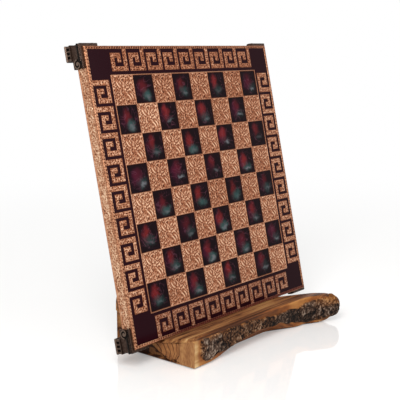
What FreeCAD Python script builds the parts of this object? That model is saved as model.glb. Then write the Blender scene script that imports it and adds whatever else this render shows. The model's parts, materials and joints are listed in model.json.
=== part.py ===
import FreeCAD
import Part
import math
import os

from FreeCAD import Placement, Rotation, Vector

# Metal-clad chess board with cast corner feet, leaning in an olive wood stand.
# Millimetres. X is the board's right, Y goes back, Z goes up, and the table is at Z = 0.
# The origin is on the table under the middle of the stand.

# Board, overall
SQUARE = 36.0                # side of one playing square
SQUARES = 8                  # squares in a row
BORDER = 36.0                # from the playing field to the board's outer edge
BOARD_THICK = 17.0           # playing face to the back of the edge strips

# Layers under the playing face
RELIEF = 1.2                 # height of the raised metal above its sheet
SHEET = 0.8                  # thickness of the pressed sheet
ENAMEL_THICK = 0.7           # enamel laid in the low parts of the sheet
FILL_GAP = 0.05              # all round each enamel fill
FELT_THICK = 1.5             # cloth on the back of the board
FELT_INSET = 32.0            # board edge to the cloth's edge, clear of the feet
SQUARE_GROWTH = 0.7          # how far the raised squares grow over each side of a dark one

# Edge strips that close the four sides and form the rim
RIM_WIDTH = 4.0              # rim seen from the front
WALL = 2.0                   # metal of the side wall
RIM_ROUND = 1.2              # outer round of the rim
BEAD_RADIUS = 1.1            # half-round bead along both long edges of a side wall
PANEL_DEPTH = 0.6            # how far the side panel lies behind its two beads
CORE_GAP = 0.1               # core panel to the metal round it

# Running key pattern in the border
KEY_WIDTH = 27.8             # one key along the side
KEY_UPRIGHT = 6.5            # bars that run across the border
KEY_LEVEL = 5.8              # bars that run along the border
KEY_RIM_GAP = 4.8            # rim to the key's inner level bar
KEY_FIELD_GAP = 4.9          # playing field to the key
KEY_MOUTH = 3.7              # between the hook's end and the long upright
KEY_HOOK = 11.8              # length of the hook's end
KEY_SPACE_LEAST = 3.2        # least space between two keys
KEY_START = 4.0              # field corner to the first key
KEY_END = 5.0                # last key to the field corner

# Cast corner feet: a shoe with an Ionic capital, over a fluted shaft
FOOT_ARM = 28.0              # each arm along the side, from the outer corner
FOOT_WALL = 3.0              # wall of the shoe outside the board
FOOT_TOP = 3.0               # playing face to the top of the shoe
FOOT_PLATE = 2.4             # plate under the board's back
FOOT_GAP = 0.05              # shoe to the board's side walls
FOOT_HEIGHT = 29.5           # playing face to the underside of the foot's base
ABACUS_HEIGHT = 2.2          # moulding along the shoe's top
ABACUS_REACH = 0.9           # how far that moulding stands out
SHAFT_WIDTH = 17.6           # square fluted shaft
SHAFT_REACH = 0.9            # shaft's faces beyond the shoe's walls
FLUTES = 3                   # flutes in each face of the shaft
FLUTE_WIDTH = 3.4            # mouth of a flute
FLUTE_FLOOR = 2.0            # its flat floor
FLUTE_DEPTH = 1.5
FLUTE_MARGIN = 1.6           # shaft's corner to its first flute
NECK_HEIGHT = 1.2            # ring between the shoe and the shaft
NECK_REACH = 0.5
BASE_HEIGHT = 2.8            # moulding at the shaft's foot
BASE_REACH = 0.9             # how far that moulding stands out from the shaft
VOLUTE_RADIUS = 5.6          # outer radius of the scroll's band
VOLUTE_STEP = 1.6            # how much each half turn of the scroll shrinks
VOLUTE_TURNS = 2             # half turns of the scroll
VOLUTE_BAND = 1.3            # width of the scroll's band
VOLUTE_DISC = 1.0            # height of the disc under the scroll
VOLUTE_RELIEF = 0.8          # height of the band over its disc
VOLUTE_RIM = 0.5             # disc seen outside the band
VOLUTE_OUT = 0.6             # how far the disc stands out past the arm's end
VOLUTE_TUCK = 0.4            # how far the disc tucks in under the moulding
CAST_ROOT = 1.0              # depth in the shoe's wall from which ornament is cast
CUSHION_HEIGHT = 5.0         # rolled band from a scroll to the corner
PAD_THICK = 1.0              # felt under each foot
PAD_INSET = 1.6              # foot's base to the edge of its felt

# Screws that hold each foot to the core panel
SCREW_RADIUS = 1.5
SCREW_HEAD_RADIUS = 2.9
SCREW_HEAD_HEIGHT = 1.8
SCREW_DEPTH = 9.0            # shank in the core panel
SCREW_INSET = 6.0            # arm's end to the screw, both ways
SLOT_WIDTH = 0.8             # slot in each screw head
SLOT_DEPTH = 0.7

# Olive wood stand
LEAN = 12.4                  # board's lean back from upright, in degrees
SEAT_Y = -15.5               # front lower edge of the board
SEAT_HEIGHT = 27.0           # that edge above the table
SEAT_GAP = 0.3               # board to the seat and to the back rest
STAND_LEFT = -131.0          # sawn left end
STAND_FELT = 1.5             # felt under the stand
STAND_FELT_INSET = 3.0       # sawn underside's edge to the felt's edge
STAND_BEVEL = 4.0            # worn edge along the seat's left end
BARK_THICK = 3.0
BARK_FOOT = 5.0              # underside of the log to the bark
BARK_LIP = 4.5               # seat to the bark
BARK_MARGIN = 8.0            # sawn left end to the bark
BARK_BACK = -42.0            # how far back the bark goes round the right end

# The log's sections: X, then its front, back, underside and top, and the radius of its corners
LOG_SECTIONS = (
    (-160.0, -64.5, 65.0, -30.0, 86.0, 26.0),
    (40.0, -64.0, 58.0, -28.0, 77.0, 26.0),
    (100.0, -70.0, 24.0, -18.0, 60.0, 26.0),
    (130.0, -93.0, -36.0, 0.0, 50.0, 20.0),
    (147.0, -96.0, -70.0, 10.0, 42.0, 12.0),
)

FIELD = SQUARE * SQUARES
HALF_FIELD = FIELD / 2
HALF_BOARD = HALF_FIELD + BORDER
HALF_INNER = HALF_BOARD - RIM_WIDTH
HALF_CORE = HALF_BOARD - WALL
REACH = 2 * HALF_BOARD       # longer than anything that is cut with it
HALF_RAISED_FIELD = HALF_FIELD + SQUARE_GROWTH
SHEET_TOP = -RELIEF
CORE_TOP = SHEET_TOP - SHEET
CORE_BOTTOM = -BOARD_THICK + FELT_THICK
SHOE_FACE = HALF_BOARD + FOOT_WALL
SHOE_BOTTOM = -BOARD_THICK - FOOT_PLATE
ARM_END = SHOE_FACE - FOOT_ARM
SHAFT_FACE = SHOE_FACE + SHAFT_REACH
SHAFT_MIDDLE = SHAFT_FACE - SHAFT_WIDTH / 2
BASE_BOTTOM = -FOOT_HEIGHT


def box(x0, y0, z0, x1, y1, z1):
    """A box between two opposite corners."""
    return Part.makeBox(x1 - x0, y1 - y0, z1 - z0, Vector(x0, y0, z0))


def square_slab(half, z0, z1):
    """A slab centred on the board, 2 * half on each side."""
    return box(-half, -half, z0, half, half, z1)


def prism(points, z0, z1):
    """A straight-sided prism over a closed outline of (x, y) points."""
    corners = [Vector(x, y, z0) for x, y in points]
    face = Part.Face(Part.makePolygon(corners + corners[:1]))
    return face.extrude(Vector(0, 0, z1 - z0))


def quarter_turns(shape, quarters):
    """A copy of a shape, turned about the board's middle."""
    turned = shape.copy()
    turned.rotate(Vector(0, 0, 0), Vector(0, 0, 1), 90 * quarters)
    return turned


def stand_up(shape):
    """Places a shape of the flat board in the stand, leaning back."""
    lean = math.radians(LEAN)
    lift = HALF_BOARD
    middle = Vector(0, SEAT_Y + lift * math.sin(lean), SEAT_HEIGHT + lift * math.cos(lean))
    placed = shape.copy()
    placed.Placement = Placement(middle, Rotation(Vector(1, 0, 0), 90 - LEAN)).multiply(placed.Placement)
    return placed


def key_layout():
    """How many keys fit along one side, and their pitch."""
    room = FIELD - KEY_START - KEY_END
    count = int((room + KEY_SPACE_LEAST) // (KEY_WIDTH + KEY_SPACE_LEAST))
    pitch = (room - KEY_WIDTH) / max(count - 1, 1)
    return count, pitch


def key_outline(left):
    """One key of the border's far side, hooked to the rim by its right upright."""
    right = left + KEY_WIDTH
    rim = HALF_INNER
    low = HALF_FIELD + KEY_FIELD_GAP
    high = rim - KEY_RIM_GAP
    hook = right - KEY_UPRIGHT - KEY_MOUTH
    return [
        (right, rim),
        (right, low),
        (left, low),
        (left, high),
        (hook, high),
        (hook, high - KEY_HOOK),
        (hook - KEY_UPRIGHT, high - KEY_HOOK),
        (hook - KEY_UPRIGHT, high - KEY_LEVEL),
        (left + KEY_UPRIGHT, high - KEY_LEVEL),
        (left + KEY_UPRIGHT, low + KEY_LEVEL),
        (right - KEY_UPRIGHT, low + KEY_LEVEL),
        (right - KEY_UPRIGHT, rim),
    ]


def keys(z0, z1):
    """The keys of all four sides as separate prisms."""
    count, pitch = key_layout()
    found = []
    for number in range(count):
        left = -HALF_FIELD + KEY_START + number * pitch
        key = prism(key_outline(left), z0, z1)
        for side in range(4):
            found.append(quarter_turns(key, side))
    return found


def dark_squares(half, z0, z1):
    """One slab per dark square; the far left corner of the field is a light one."""
    slabs = []
    for row in range(SQUARES):
        for column in range(SQUARES):
            if (row + column) % 2:
                x = -HALF_FIELD + (column + 0.5) * SQUARE
                y = HALF_FIELD - (row + 0.5) * SQUARE
                slabs.append(box(x - half, y - half, z0, x + half, y + half, z1))
    return slabs


def face_plate():
    """The pressed metal sheet with its raised keys and playing field."""
    sheet = square_slab(HALF_CORE - CORE_GAP, CORE_TOP, SHEET_TOP)
    field = square_slab(HALF_RAISED_FIELD, SHEET_TOP, 0)
    pockets = dark_squares(SQUARE / 2 - SQUARE_GROWTH, SHEET_TOP, 0)
    field = field.cut(Part.makeCompound(pockets))
    return sheet.fuse([field] + keys(SHEET_TOP, 0)).removeSplitter()


def enamel_border():
    """Dark enamel that fills the border round the keys."""
    top = SHEET_TOP + ENAMEL_THICK
    outer = square_slab(HALF_INNER - FILL_GAP, SHEET_TOP, top)
    inner = square_slab(HALF_RAISED_FIELD + FILL_GAP, SHEET_TOP, top)
    return outer.cut([inner] + keys(SHEET_TOP, top))


def enamel_squares():
    """Enamel laid in the pockets of the dark squares."""
    half = SQUARE / 2 - SQUARE_GROWTH - FILL_GAP
    return Part.makeCompound(dark_squares(half, SHEET_TOP, SHEET_TOP + ENAMEL_THICK))


def edge_strip():
    """The near side's strip: a rim lip and a side wall with two beads, mitred at both ends."""
    outer = HALF_BOARD
    panel = outer - PANEL_DEPTH
    upper = -RIM_ROUND - BEAD_RADIUS
    lower = -BOARD_THICK + BEAD_RADIUS
    turn = math.sqrt(0.5)
    rim_arc = Part.Arc(
        Vector(0, -outer + RIM_ROUND, 0),
        Vector(0, -outer + RIM_ROUND * (1 - turn), -RIM_ROUND * (1 - turn)),
        Vector(0, -outer, -RIM_ROUND),
    )
    upper_end = upper - BEAD_RADIUS
    lower_start = lower + BEAD_RADIUS
    upper_arc = Part.Arc(
        Vector(0, -outer, -RIM_ROUND),
        Vector(0, -outer + PANEL_DEPTH / 4, upper),
        Vector(0, -panel, upper_end),
    )
    lower_arc = Part.Arc(
        Vector(0, -panel, lower_start),
        Vector(0, -outer, lower),
        Vector(0, -outer + PANEL_DEPTH / 2, -BOARD_THICK),
    )
    straight = [
        Vector(0, -outer + PANEL_DEPTH / 2, -BOARD_THICK),
        Vector(0, -HALF_CORE, -BOARD_THICK),
        Vector(0, -HALF_CORE, SHEET_TOP),
        Vector(0, -HALF_INNER, SHEET_TOP),
        Vector(0, -HALF_INNER, 0),
        Vector(0, -outer + RIM_ROUND, 0),
    ]
    edges = [
        rim_arc.toShape(),
        upper_arc.toShape(),
        Part.makeLine(Vector(0, -panel, upper_end), Vector(0, -panel, lower_start)),
        lower_arc.toShape(),
    ]
    for start, end in zip(straight, straight[1:]):
        edges.append(Part.makeLine(start, end))
    profile = Part.Face(Part.Wire(edges))
    profile.translate(Vector(-outer, 0, 0))
    bar = profile.extrude(Vector(2 * outer, 0, 0))
    wedge = prism([(0, 0), (-2 * outer, -2 * outer), (2 * outer, -2 * outer)], -2 * BOARD_THICK, BOARD_THICK)
    return bar.common(wedge)


def screw_places():
    """Middle of each foot screw, in the inner corner of its foot's plate."""
    along = ARM_END + SCREW_INSET
    return [(x, y) for x in (-along, along) for y in (-along, along)]


def screw(x, y, growth=0.0):
    """A slotted countersunk screw from the back, or its hole when it is grown."""
    shank_top = CORE_BOTTOM + SCREW_DEPTH + growth
    head_top = SHOE_BOTTOM + SCREW_HEAD_HEIGHT
    shank = Part.makeCylinder(SCREW_RADIUS + growth, shank_top - head_top, Vector(x, y, head_top))
    head = Part.makeCone(
        SCREW_HEAD_RADIUS + growth, SCREW_RADIUS + growth, SCREW_HEAD_HEIGHT, Vector(x, y, SHOE_BOTTOM)
    )
    return head.fuse(shank)


def foot_screws():
    """All foot screws, each with its driver slot."""
    screws = []
    for x, y in screw_places():
        slot = box(
            x - SCREW_HEAD_RADIUS, y - SLOT_WIDTH / 2, SHOE_BOTTOM,
            x + SCREW_HEAD_RADIUS, y + SLOT_WIDTH / 2, SHOE_BOTTOM + SLOT_DEPTH,
        )
        screws.append(screw(x, y).cut(slot))
    return Part.makeCompound(screws)


def screw_holes():
    """The holes that the foot screws pass through."""
    return [screw(x, y, FILL_GAP) for x, y in screw_places()]


def core_panel():
    """The wood panel that carries everything else."""
    slab = square_slab(HALF_CORE - CORE_GAP, CORE_BOTTOM, CORE_TOP)
    return slab.cut(screw_holes())


def base_felt():
    """Cloth glued to the back, between the feet."""
    half = HALF_BOARD - FELT_INSET
    return square_slab(half, -BOARD_THICK, CORE_BOTTOM)


def scroll_band():
    """A flat spiral band of half rings, each smaller than the last, round its eye."""
    depth = CAST_ROOT + VOLUTE_DISC + VOLUTE_RELIEF
    radius = VOLUTE_RADIUS - VOLUTE_BAND / 2
    middle = 0.0
    side = 1
    outer_arcs = []
    inner_arcs = []
    for _ in range(VOLUTE_TURNS):
        for arcs, bow in ((outer_arcs, radius + VOLUTE_BAND / 2), (inner_arcs, radius - VOLUTE_BAND / 2)):
            start = Vector(middle + side * bow, 0, 0)
            top = Vector(middle, side * bow, 0)
            end = Vector(middle - side * bow, 0, 0)
            arcs.append(Part.Arc(start, top, end))
        middle -= side * VOLUTE_STEP
        radius -= VOLUTE_STEP
        side = -side
    tail = Part.makeLine(outer_arcs[-1].EndPoint, inner_arcs[-1].EndPoint)
    head = Part.makeLine(inner_arcs[0].StartPoint, outer_arcs[0].StartPoint)
    edges = [arc.toShape() for arc in outer_arcs] + [tail]
    edges += [arc.toShape() for arc in reversed(inner_arcs)] + [head]
    band = Part.Face(Part.Wire(edges)).extrude(Vector(0, 0, depth))
    eye = Part.makeCylinder(radius + VOLUTE_BAND / 4, depth, Vector(middle, 0, 0))
    return [band, eye]


def volute():
    """The scroll at the end of one arm, raised from the far side of the shoe."""
    disc_radius = VOLUTE_RADIUS + VOLUTE_RIM
    disc = Part.makeCylinder(disc_radius, CAST_ROOT + VOLUTE_DISC)
    scroll = disc.fuse(scroll_band())
    along = ARM_END - VOLUTE_OUT + disc_radius
    height = -FOOT_TOP - ABACUS_HEIGHT + VOLUTE_TUCK - disc_radius
    scroll.Placement = Placement(Vector(along, SHOE_FACE - CAST_ROOT, height), Rotation(Vector(1, 0, 0), -90))
    return scroll


def abacus():
    """The moulding along the top of both arms."""
    reach = SHOE_FACE + ABACUS_REACH
    start = ARM_END - ABACUS_REACH
    top = -FOOT_TOP
    bottom = top - ABACUS_HEIGHT
    block = box(start, start, bottom, reach, reach, top)
    block = block.makeChamfer(ABACUS_HEIGHT / 3, block.Edges)
    inner = HALF_BOARD + FOOT_GAP
    return block.cut(box(start - 1, start - 1, bottom - 1, inner, inner, top + 1))


def cushion():
    """The rolled band that runs from a scroll to the corner, mitred there."""
    middle = -FOOT_TOP - ABACUS_HEIGHT - CUSHION_HEIGHT / 2
    start = ARM_END + VOLUTE_RADIUS
    root = SHOE_FACE - CAST_ROOT
    arc = Part.Arc(
        Vector(start, SHOE_FACE, middle + CUSHION_HEIGHT / 2),
        Vector(start, SHOE_FACE + VOLUTE_DISC, middle),
        Vector(start, SHOE_FACE, middle - CUSHION_HEIGHT / 2),
    )
    back = [
        arc.EndPoint,
        Vector(start, root, middle - CUSHION_HEIGHT / 2),
        Vector(start, root, middle + CUSHION_HEIGHT / 2),
        arc.StartPoint,
    ]
    profile = Part.Face(Part.Wire([arc.toShape()] + Part.makePolygon(back).Edges))
    roll = profile.extrude(Vector(SHAFT_FACE - start, 0, 0))
    corner = [(0, 0), (REACH, REACH), (0, REACH)]
    return roll.common(prism(corner, -FOOT_HEIGHT, 0))


def flute(along, face, z0, z1):
    """The room of one flute in the shaft's face at +Y, narrower at its floor."""
    outline = [
        (along - FLUTE_WIDTH / 2, face),
        (along - FLUTE_FLOOR / 2, face - FLUTE_DEPTH),
        (along + FLUTE_FLOOR / 2, face - FLUTE_DEPTH),
        (along + FLUTE_WIDTH / 2, face),
    ]
    return prism(outline, z0, z1)


def fluted_shaft():
    """A square shaft with flutes in its four faces, a neck ring and a base."""
    half = SHAFT_WIDTH / 2
    base_top = BASE_BOTTOM + BASE_HEIGHT
    shaft = square_slab(half, base_top, SHOE_BOTTOM)
    pitch = (SHAFT_WIDTH - 2 * FLUTE_MARGIN) / FLUTES
    flutes = []
    for number in range(FLUTES):
        along = -half + FLUTE_MARGIN + (number + 0.5) * pitch
        for side in range(4):
            flutes.append(quarter_turns(flute(along, half, base_top, SHOE_BOTTOM), side))
    base = square_slab(half + BASE_REACH, BASE_BOTTOM, base_top)
    base = base.makeChamfer(BASE_HEIGHT / 3, base.Edges)
    neck = square_slab(half + NECK_REACH, SHOE_BOTTOM - NECK_HEIGHT, SHOE_BOTTOM)
    column = shaft.cut(flutes).fuse([base, neck])
    column.translate(Vector(SHAFT_MIDDLE, SHAFT_MIDDLE, 0))
    return column


def corner_foot():
    """The far right foot: shoe, moulding, scrolls and shaft in one casting."""
    inner = HALF_BOARD + FOOT_GAP
    shoe = box(ARM_END, ARM_END, SHOE_BOTTOM, SHOE_FACE, SHOE_FACE, -FOOT_TOP)
    shoe = shoe.cut(box(ARM_END - 1, ARM_END - 1, -BOARD_THICK, inner, inner, 0))
    seat = box(ARM_END, ARM_END, -BOARD_THICK, HALF_CORE - CORE_GAP, HALF_CORE - CORE_GAP, CORE_BOTTOM)
    arm_parts = [volute(), cushion()]
    mirrored = [piece.mirror(Vector(0, 0, 0), Vector(1, -1, 0)) for piece in arm_parts]
    foot = shoe.fuse([seat, abacus(), fluted_shaft()] + arm_parts + mirrored)
    return foot.cut(screw_holes())


def foot_pads():
    """Felt under the base of each foot."""
    reach = SHAFT_WIDTH / 2 + BASE_REACH - PAD_INSET
    low = SHAFT_MIDDLE - reach
    high = SHAFT_MIDDLE + reach
    pad = box(low, low, BASE_BOTTOM - PAD_THICK, high, high, BASE_BOTTOM)
    return Part.makeCompound([quarter_turns(pad, number) for number in range(4)])


def log_section(x, front, back, bottom, top, radius):
    """A closed section of the log across X: a rectangle with round corners."""
    bulge = radius * (1 - math.sqrt(0.5))
    corners = (
        ((back - radius, bottom), (back - bulge, bottom + bulge), (back, bottom + radius)),
        ((back, top - radius), (back - bulge, top - bulge), (back - radius, top)),
        ((front + radius, top), (front + bulge, top - bulge), (front, top - radius)),
        ((front, bottom + radius), (front + bulge, bottom + bulge), (front + radius, bottom)),
    )
    edges = []
    for number, points in enumerate(corners):
        start, middle, end = (Vector(x, y, z) for y, z in points)
        edges.append(Part.Arc(start, middle, end).toShape())
        following = corners[(number + 1) % len(corners)][0]
        edges.append(Part.makeLine(end, Vector(x, *following)))
    return Part.Wire(edges)


def log_body(growth=0.0):
    """The whole log as a loft through its sections, grown all round for the bark."""
    sections = []
    for x, front, back, bottom, top, radius in LOG_SECTIONS:
        sections.append(log_section(
            x, front - growth, back + growth, bottom - growth, top + growth, radius + growth
        ))
    return Part.makeLoft(sections, True, True)


def board_room():
    """The space over the seat and in front of the back rest, where the board goes."""
    low = -HALF_BOARD - SEAT_GAP
    back = -BOARD_THICK - SEAT_GAP
    return stand_up(box(-REACH, low, back, REACH, REACH, REACH))


def stand_log():
    """The olive log: sawn flat below and at its left end, with a rebate for the board."""
    sawn = box(STAND_LEFT, -REACH, STAND_FELT, REACH, REACH, REACH)
    log = log_body().common(sawn).cut(board_room())
    seat = -HALF_BOARD - SEAT_GAP
    worn = prism(
        [(STAND_LEFT - 1, seat + 1), (STAND_LEFT - 1, seat - STAND_BEVEL - 1),
         (STAND_LEFT + STAND_BEVEL + 1, seat + 1)],
        -BOARD_THICK - SEAT_GAP, REACH,
    )
    return log.cut(stand_up(worn))


def stand_bark():
    """Bark left on the front of the log and round its right end."""
    bottom = STAND_FELT + BARK_FOOT
    shell = log_body(BARK_THICK).cut(log_body())
    region = box(STAND_LEFT + BARK_MARGIN, -REACH, bottom, REACH, BARK_BACK, REACH)
    trimmed = shell.common(region)
    above = stand_up(box(-REACH, -HALF_BOARD - SEAT_GAP - BARK_LIP, -REACH, REACH, REACH, REACH))
    return trimmed.cut(above)


def stand_felt():
    """Cloth glued under the log, just inside its sawn underside."""
    left = STAND_LEFT + STAND_FELT_INSET
    return log_body(-STAND_FELT_INSET).common(box(left, -REACH, 0, REACH, REACH, STAND_FELT))


def board_nodes():
    """Every node of the board, laid flat about the middle of its playing face."""
    nodes = {
        "core_panel": core_panel(),
        "face_plate": face_plate(),
        "enamel_border": enamel_border(),
        "enamel_squares": enamel_squares(),
        "base_felt": base_felt(),
        "foot_screws": foot_screws(),
        "foot_pads": foot_pads(),
    }
    strip = edge_strip()
    for quarters, side in enumerate(("near", "right", "far", "left")):
        nodes["edge_strip_" + side] = quarter_turns(strip, quarters)
    foot = corner_foot()
    for quarters, corner in enumerate(("far_right", "far_left", "near_left", "near_right")):
        nodes["corner_foot_" + corner] = quarter_turns(foot, quarters)
    return nodes


def main():
    """Builds every node and writes one STEP file for each."""
    os.makedirs("parts", exist_ok=True)
    nodes = {name: stand_up(shape) for name, shape in board_nodes().items()}
    nodes["stand_log"] = stand_log()
    nodes["stand_bark"] = stand_bark()
    nodes["stand_felt"] = stand_felt()
    for name, shape in nodes.items():
        shape.exportStep(os.path.join("parts", name + ".step"))
        bounds = shape.BoundBox
        print(
            f"{name}: {len(shape.Solids)} solids, valid {shape.isValid()}, {shape.Volume / 1000:.2f} cm3, "
            f"x {bounds.XMin:.1f} to {bounds.XMax:.1f}, y {bounds.YMin:.1f} to {bounds.YMax:.1f}, "
            f"z {bounds.ZMin:.1f} to {bounds.ZMax:.1f}"
        )


main()
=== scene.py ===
# %% [markdown]
# A metal-clad chess board leans in a piece of live-edge olive wood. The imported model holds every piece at
# its real size. This script keeps those sizes and gives each piece the surface that the real one shows:
# embossed copper, poured enamel, patinated castings, bark and sawn wood.

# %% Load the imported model
import json
import math

import bmesh
import bpy
import numpy as np
from mathutils import Matrix, Vector


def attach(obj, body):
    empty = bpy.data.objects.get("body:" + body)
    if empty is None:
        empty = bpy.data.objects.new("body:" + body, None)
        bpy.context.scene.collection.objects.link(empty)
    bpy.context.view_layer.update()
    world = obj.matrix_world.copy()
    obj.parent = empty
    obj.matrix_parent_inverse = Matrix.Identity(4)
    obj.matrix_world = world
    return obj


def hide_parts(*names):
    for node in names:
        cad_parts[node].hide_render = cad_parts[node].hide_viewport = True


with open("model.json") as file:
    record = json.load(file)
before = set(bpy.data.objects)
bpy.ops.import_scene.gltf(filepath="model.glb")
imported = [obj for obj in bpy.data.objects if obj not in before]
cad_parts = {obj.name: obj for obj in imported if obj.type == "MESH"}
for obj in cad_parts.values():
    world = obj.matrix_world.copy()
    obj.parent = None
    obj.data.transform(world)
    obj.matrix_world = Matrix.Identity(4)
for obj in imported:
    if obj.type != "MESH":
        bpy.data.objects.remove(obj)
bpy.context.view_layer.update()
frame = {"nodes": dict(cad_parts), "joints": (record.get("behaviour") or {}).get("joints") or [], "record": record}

# %% [markdown]
# The board leans back, so its own directions aren't the frame's. The record says where the middle of a
# light square is, which way the face looks and which way the board lifts. From these three facts any
# point of the flat board, in millimetres, can be laid in place.

# %% The board's own directions
MM = 0.001
SQUARE = 36.0            # one playing square
SQUARES = 8
BORDER = 36.0            # field to outer edge
BOARD_THICK = 17.0
RELIEF = 1.2             # height of the raised metal over its sheet
SHEET_BACK = -2.0        # underside of the pressed sheet, from the face
GROWTH = 0.7             # raised line round each dark square
RIM = 4.0                # width of the rim
HALF_FIELD = SQUARE * SQUARES / 2
HALF_BOARD = HALF_FIELD + BORDER
HALF_INNER = HALF_BOARD - RIM

record = frame["record"]
mount = next(m for m in record["mounts"] if m["name"] == "playing_field")
RIGHT = np.array([1.0, 0.0, 0.0])
OUT = np.array(mount["axis"])
UP = np.array(frame["joints"][0]["axis"])
MIDDLE = np.array(mount["pos_m"]) + MM * SQUARE / 2 * (UP - RIGHT)
LEAN = math.atan2(UP[1], UP[2])
print("lean in degrees:", round(math.degrees(LEAN), 2), "middle in mm:", np.round(MIDDLE / MM, 1))


def lay(flat):
    """Flat-board millimetres to metres in the frame.

    Point = middle + right * x + up * y + out of the face * z."""
    return MIDDLE + MM * (flat[..., :1] * RIGHT + flat[..., 1:2] * UP + flat[..., 2:] * OUT)


def quarter_turn(flat, quarters):
    """Turns flat-board points about the board's middle: (x, y) becomes (-y, x) for each quarter."""
    x, y, z = flat[..., 0], flat[..., 1], flat[..., 2]
    for _ in range(quarters % 4):
        x, y = -y, x
    return np.stack([x, y, z], axis=-1)


# %% [markdown]
# Every new piece is a surface worked out as whole arrays. A grid of points becomes a mesh by numbering
# its points row by row and joining each to its neighbours. One small class gathers such grids, makes the
# mesh, hangs it on its body and hides the CAD node that it stands for. Each point also carries three
# values that its finish can read: tone, from dark to light, warm, how much of a second colour shows, and
# rings, a count of growth lines in wood.

# %% From arrays to pieces
def quads(rows, columns, wrap=False):
    """Corner numbers of a grid's faces; wrap joins the last column to the first."""
    number = np.arange(rows * columns).reshape(rows, columns)
    if wrap:
        number = np.hstack([number, number[:, :1]])
    corners = [number[:-1, :-1], number[:-1, 1:], number[1:, 1:], number[1:, :-1]]
    return np.stack(corners, axis=-1).reshape(-1, 4)


def tube(rows, columns, flip=False):
    """Faces of a grid whose rows are closed rings: its wall, the first ring's lid and the last ring's
    lid. Flip turns them inside out."""
    first = np.arange(columns)
    faces = [quads(rows, columns, wrap=True), first[::-1], first + (rows - 1) * columns]
    return [part[..., ::-1] for part in faces] if flip else faces


def new_object(name, data):
    """A new object in the scene."""
    made = bpy.data.objects.new(name, data)
    bpy.context.scene.collection.objects.link(made)
    return made


def hang(name, mesh, finishes, body, node):
    """A mesh as a piece that has its finishes, rides on its body and stands for a CAD node."""
    mesh.materials.clear()
    for finish in finishes:
        mesh.materials.append(finish.material)
    piece = new_object(name, mesh)
    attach(piece, body)
    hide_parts(node)
    print(f"{name}: {len(mesh.vertices)} points, {len(mesh.polygons)} faces")
    return piece


def set_values(mesh, label, values):
    """Gives each point of a mesh a value that a finish can read."""
    layer = mesh.attributes.new(label, "FLOAT", "POINT")
    layer.data.foreach_set("value", values.astype(np.float32))


class Shell:
    """Gathers points, faces and three values per point from several grids into one mesh."""

    def __init__(self):
        self.points, self.corners, self.sizes, self.numbers = [], [], [], []
        self.values = {"tone": [], "warm": [], "rings": []}
        self.count = 0

    def add(self, points, faces, tone=0.5, warm=0.0, rings=0.5, number=0):
        """Faces is a list of arrays: rows of corner numbers, or one flat polygon. Number picks the
        finish."""
        points = points.reshape(-1, 3)
        for part in faces:
            part = np.atleast_2d(part)
            self.corners.append((part + self.count).reshape(-1))
            self.sizes.append(np.full(len(part), part.shape[1]))
            self.numbers.append(np.full(len(part), number))
        for label, value in (("tone", tone), ("warm", warm), ("rings", rings)):
            value = np.asarray(value, float).reshape(-1)
            self.values[label].append(np.broadcast_to(value, (len(points),)))
        self.points.append(points)
        self.count += len(points)

    def make(self, name, finishes, body, node, sharp=50):
        """The mesh as a piece; edges over that many degrees stay sharp."""
        corners, sizes = np.concatenate(self.corners), np.concatenate(self.sizes)
        mesh = bpy.data.meshes.new(name)
        mesh.vertices.add(self.count)
        mesh.vertices.foreach_set("co", np.concatenate(self.points).astype(np.float32).reshape(-1))
        mesh.loops.add(len(corners))
        mesh.loops.foreach_set("vertex_index", corners.astype(np.int32))
        mesh.polygons.add(len(sizes))
        mesh.polygons.foreach_set("loop_start", (np.cumsum(sizes) - sizes).astype(np.int32))
        mesh.update(calc_edges=True)
        for label, kept in self.values.items():
            set_values(mesh, label, np.concatenate(kept))
        mesh.polygons.foreach_set("use_smooth", np.ones(len(sizes), bool))
        mesh.set_sharp_from_angle(angle=math.radians(sharp))
        piece = hang(name, mesh, finishes, body, node)
        mesh.polygons.foreach_set("material_index", np.concatenate(self.numbers).astype(np.int32))
        return piece


# %% [markdown]
# A few small functions shape nearly everything that follows: a smooth step, a bell, a blend of two values
# and smooth noise. The last one scatters separate bumps, which make dimples, cuts and ridges of bark.

# %% Steps, bells and noise
NOISE_CELLS = 128        # noise repeats after this many of its squares
BUMP_CELLS = 64          # and bumps after this many


def ease(value, low, high):
    """0 below low, 1 above high and a smooth step 3 t^2 - 2 t^3 between them."""
    t = np.clip((value - low) / (high - low), 0, 1)
    return t * t * (3 - 2 * t)


def bell(distance, width):
    """1 at distance 0, falling off on either side over the width."""
    return np.exp(-(distance / width) ** 2)


def blend(first, second, share):
    """First where the share is 0, second where it is 1."""
    return first * (1 - share) + second * share


def turned(x, y, angle):
    """A place as its distances along a direction and across it."""
    return x * np.cos(angle) + y * np.sin(angle), y * np.cos(angle) - x * np.sin(angle)


def unit(vectors):
    """Each vector at length 1."""
    return vectors / np.linalg.norm(vectors, axis=1)[:, None]


def noise(x, y, size, seed):
    """Smooth noise from -1 to 1: random heights at the corners of squares of that size in mm, and a
    smooth step between them."""
    heights = np.random.default_rng(seed).uniform(-1, 1, (NOISE_CELLS, NOISE_CELLS))
    u, v = np.asarray(x) / size, np.asarray(y) / size
    i, j = np.floor(u).astype(int), np.floor(v).astype(int)
    s, t = ease(u - i, 0, 1), ease(v - j, 0, 1)

    def corner(step_i, step_j):
        return heights[(i + step_i) % NOISE_CELLS, (j + step_j) % NOISE_CELLS]

    return blend(blend(corner(0, 0), corner(1, 0), s), blend(corner(0, 1), corner(1, 1), s), t)


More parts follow.
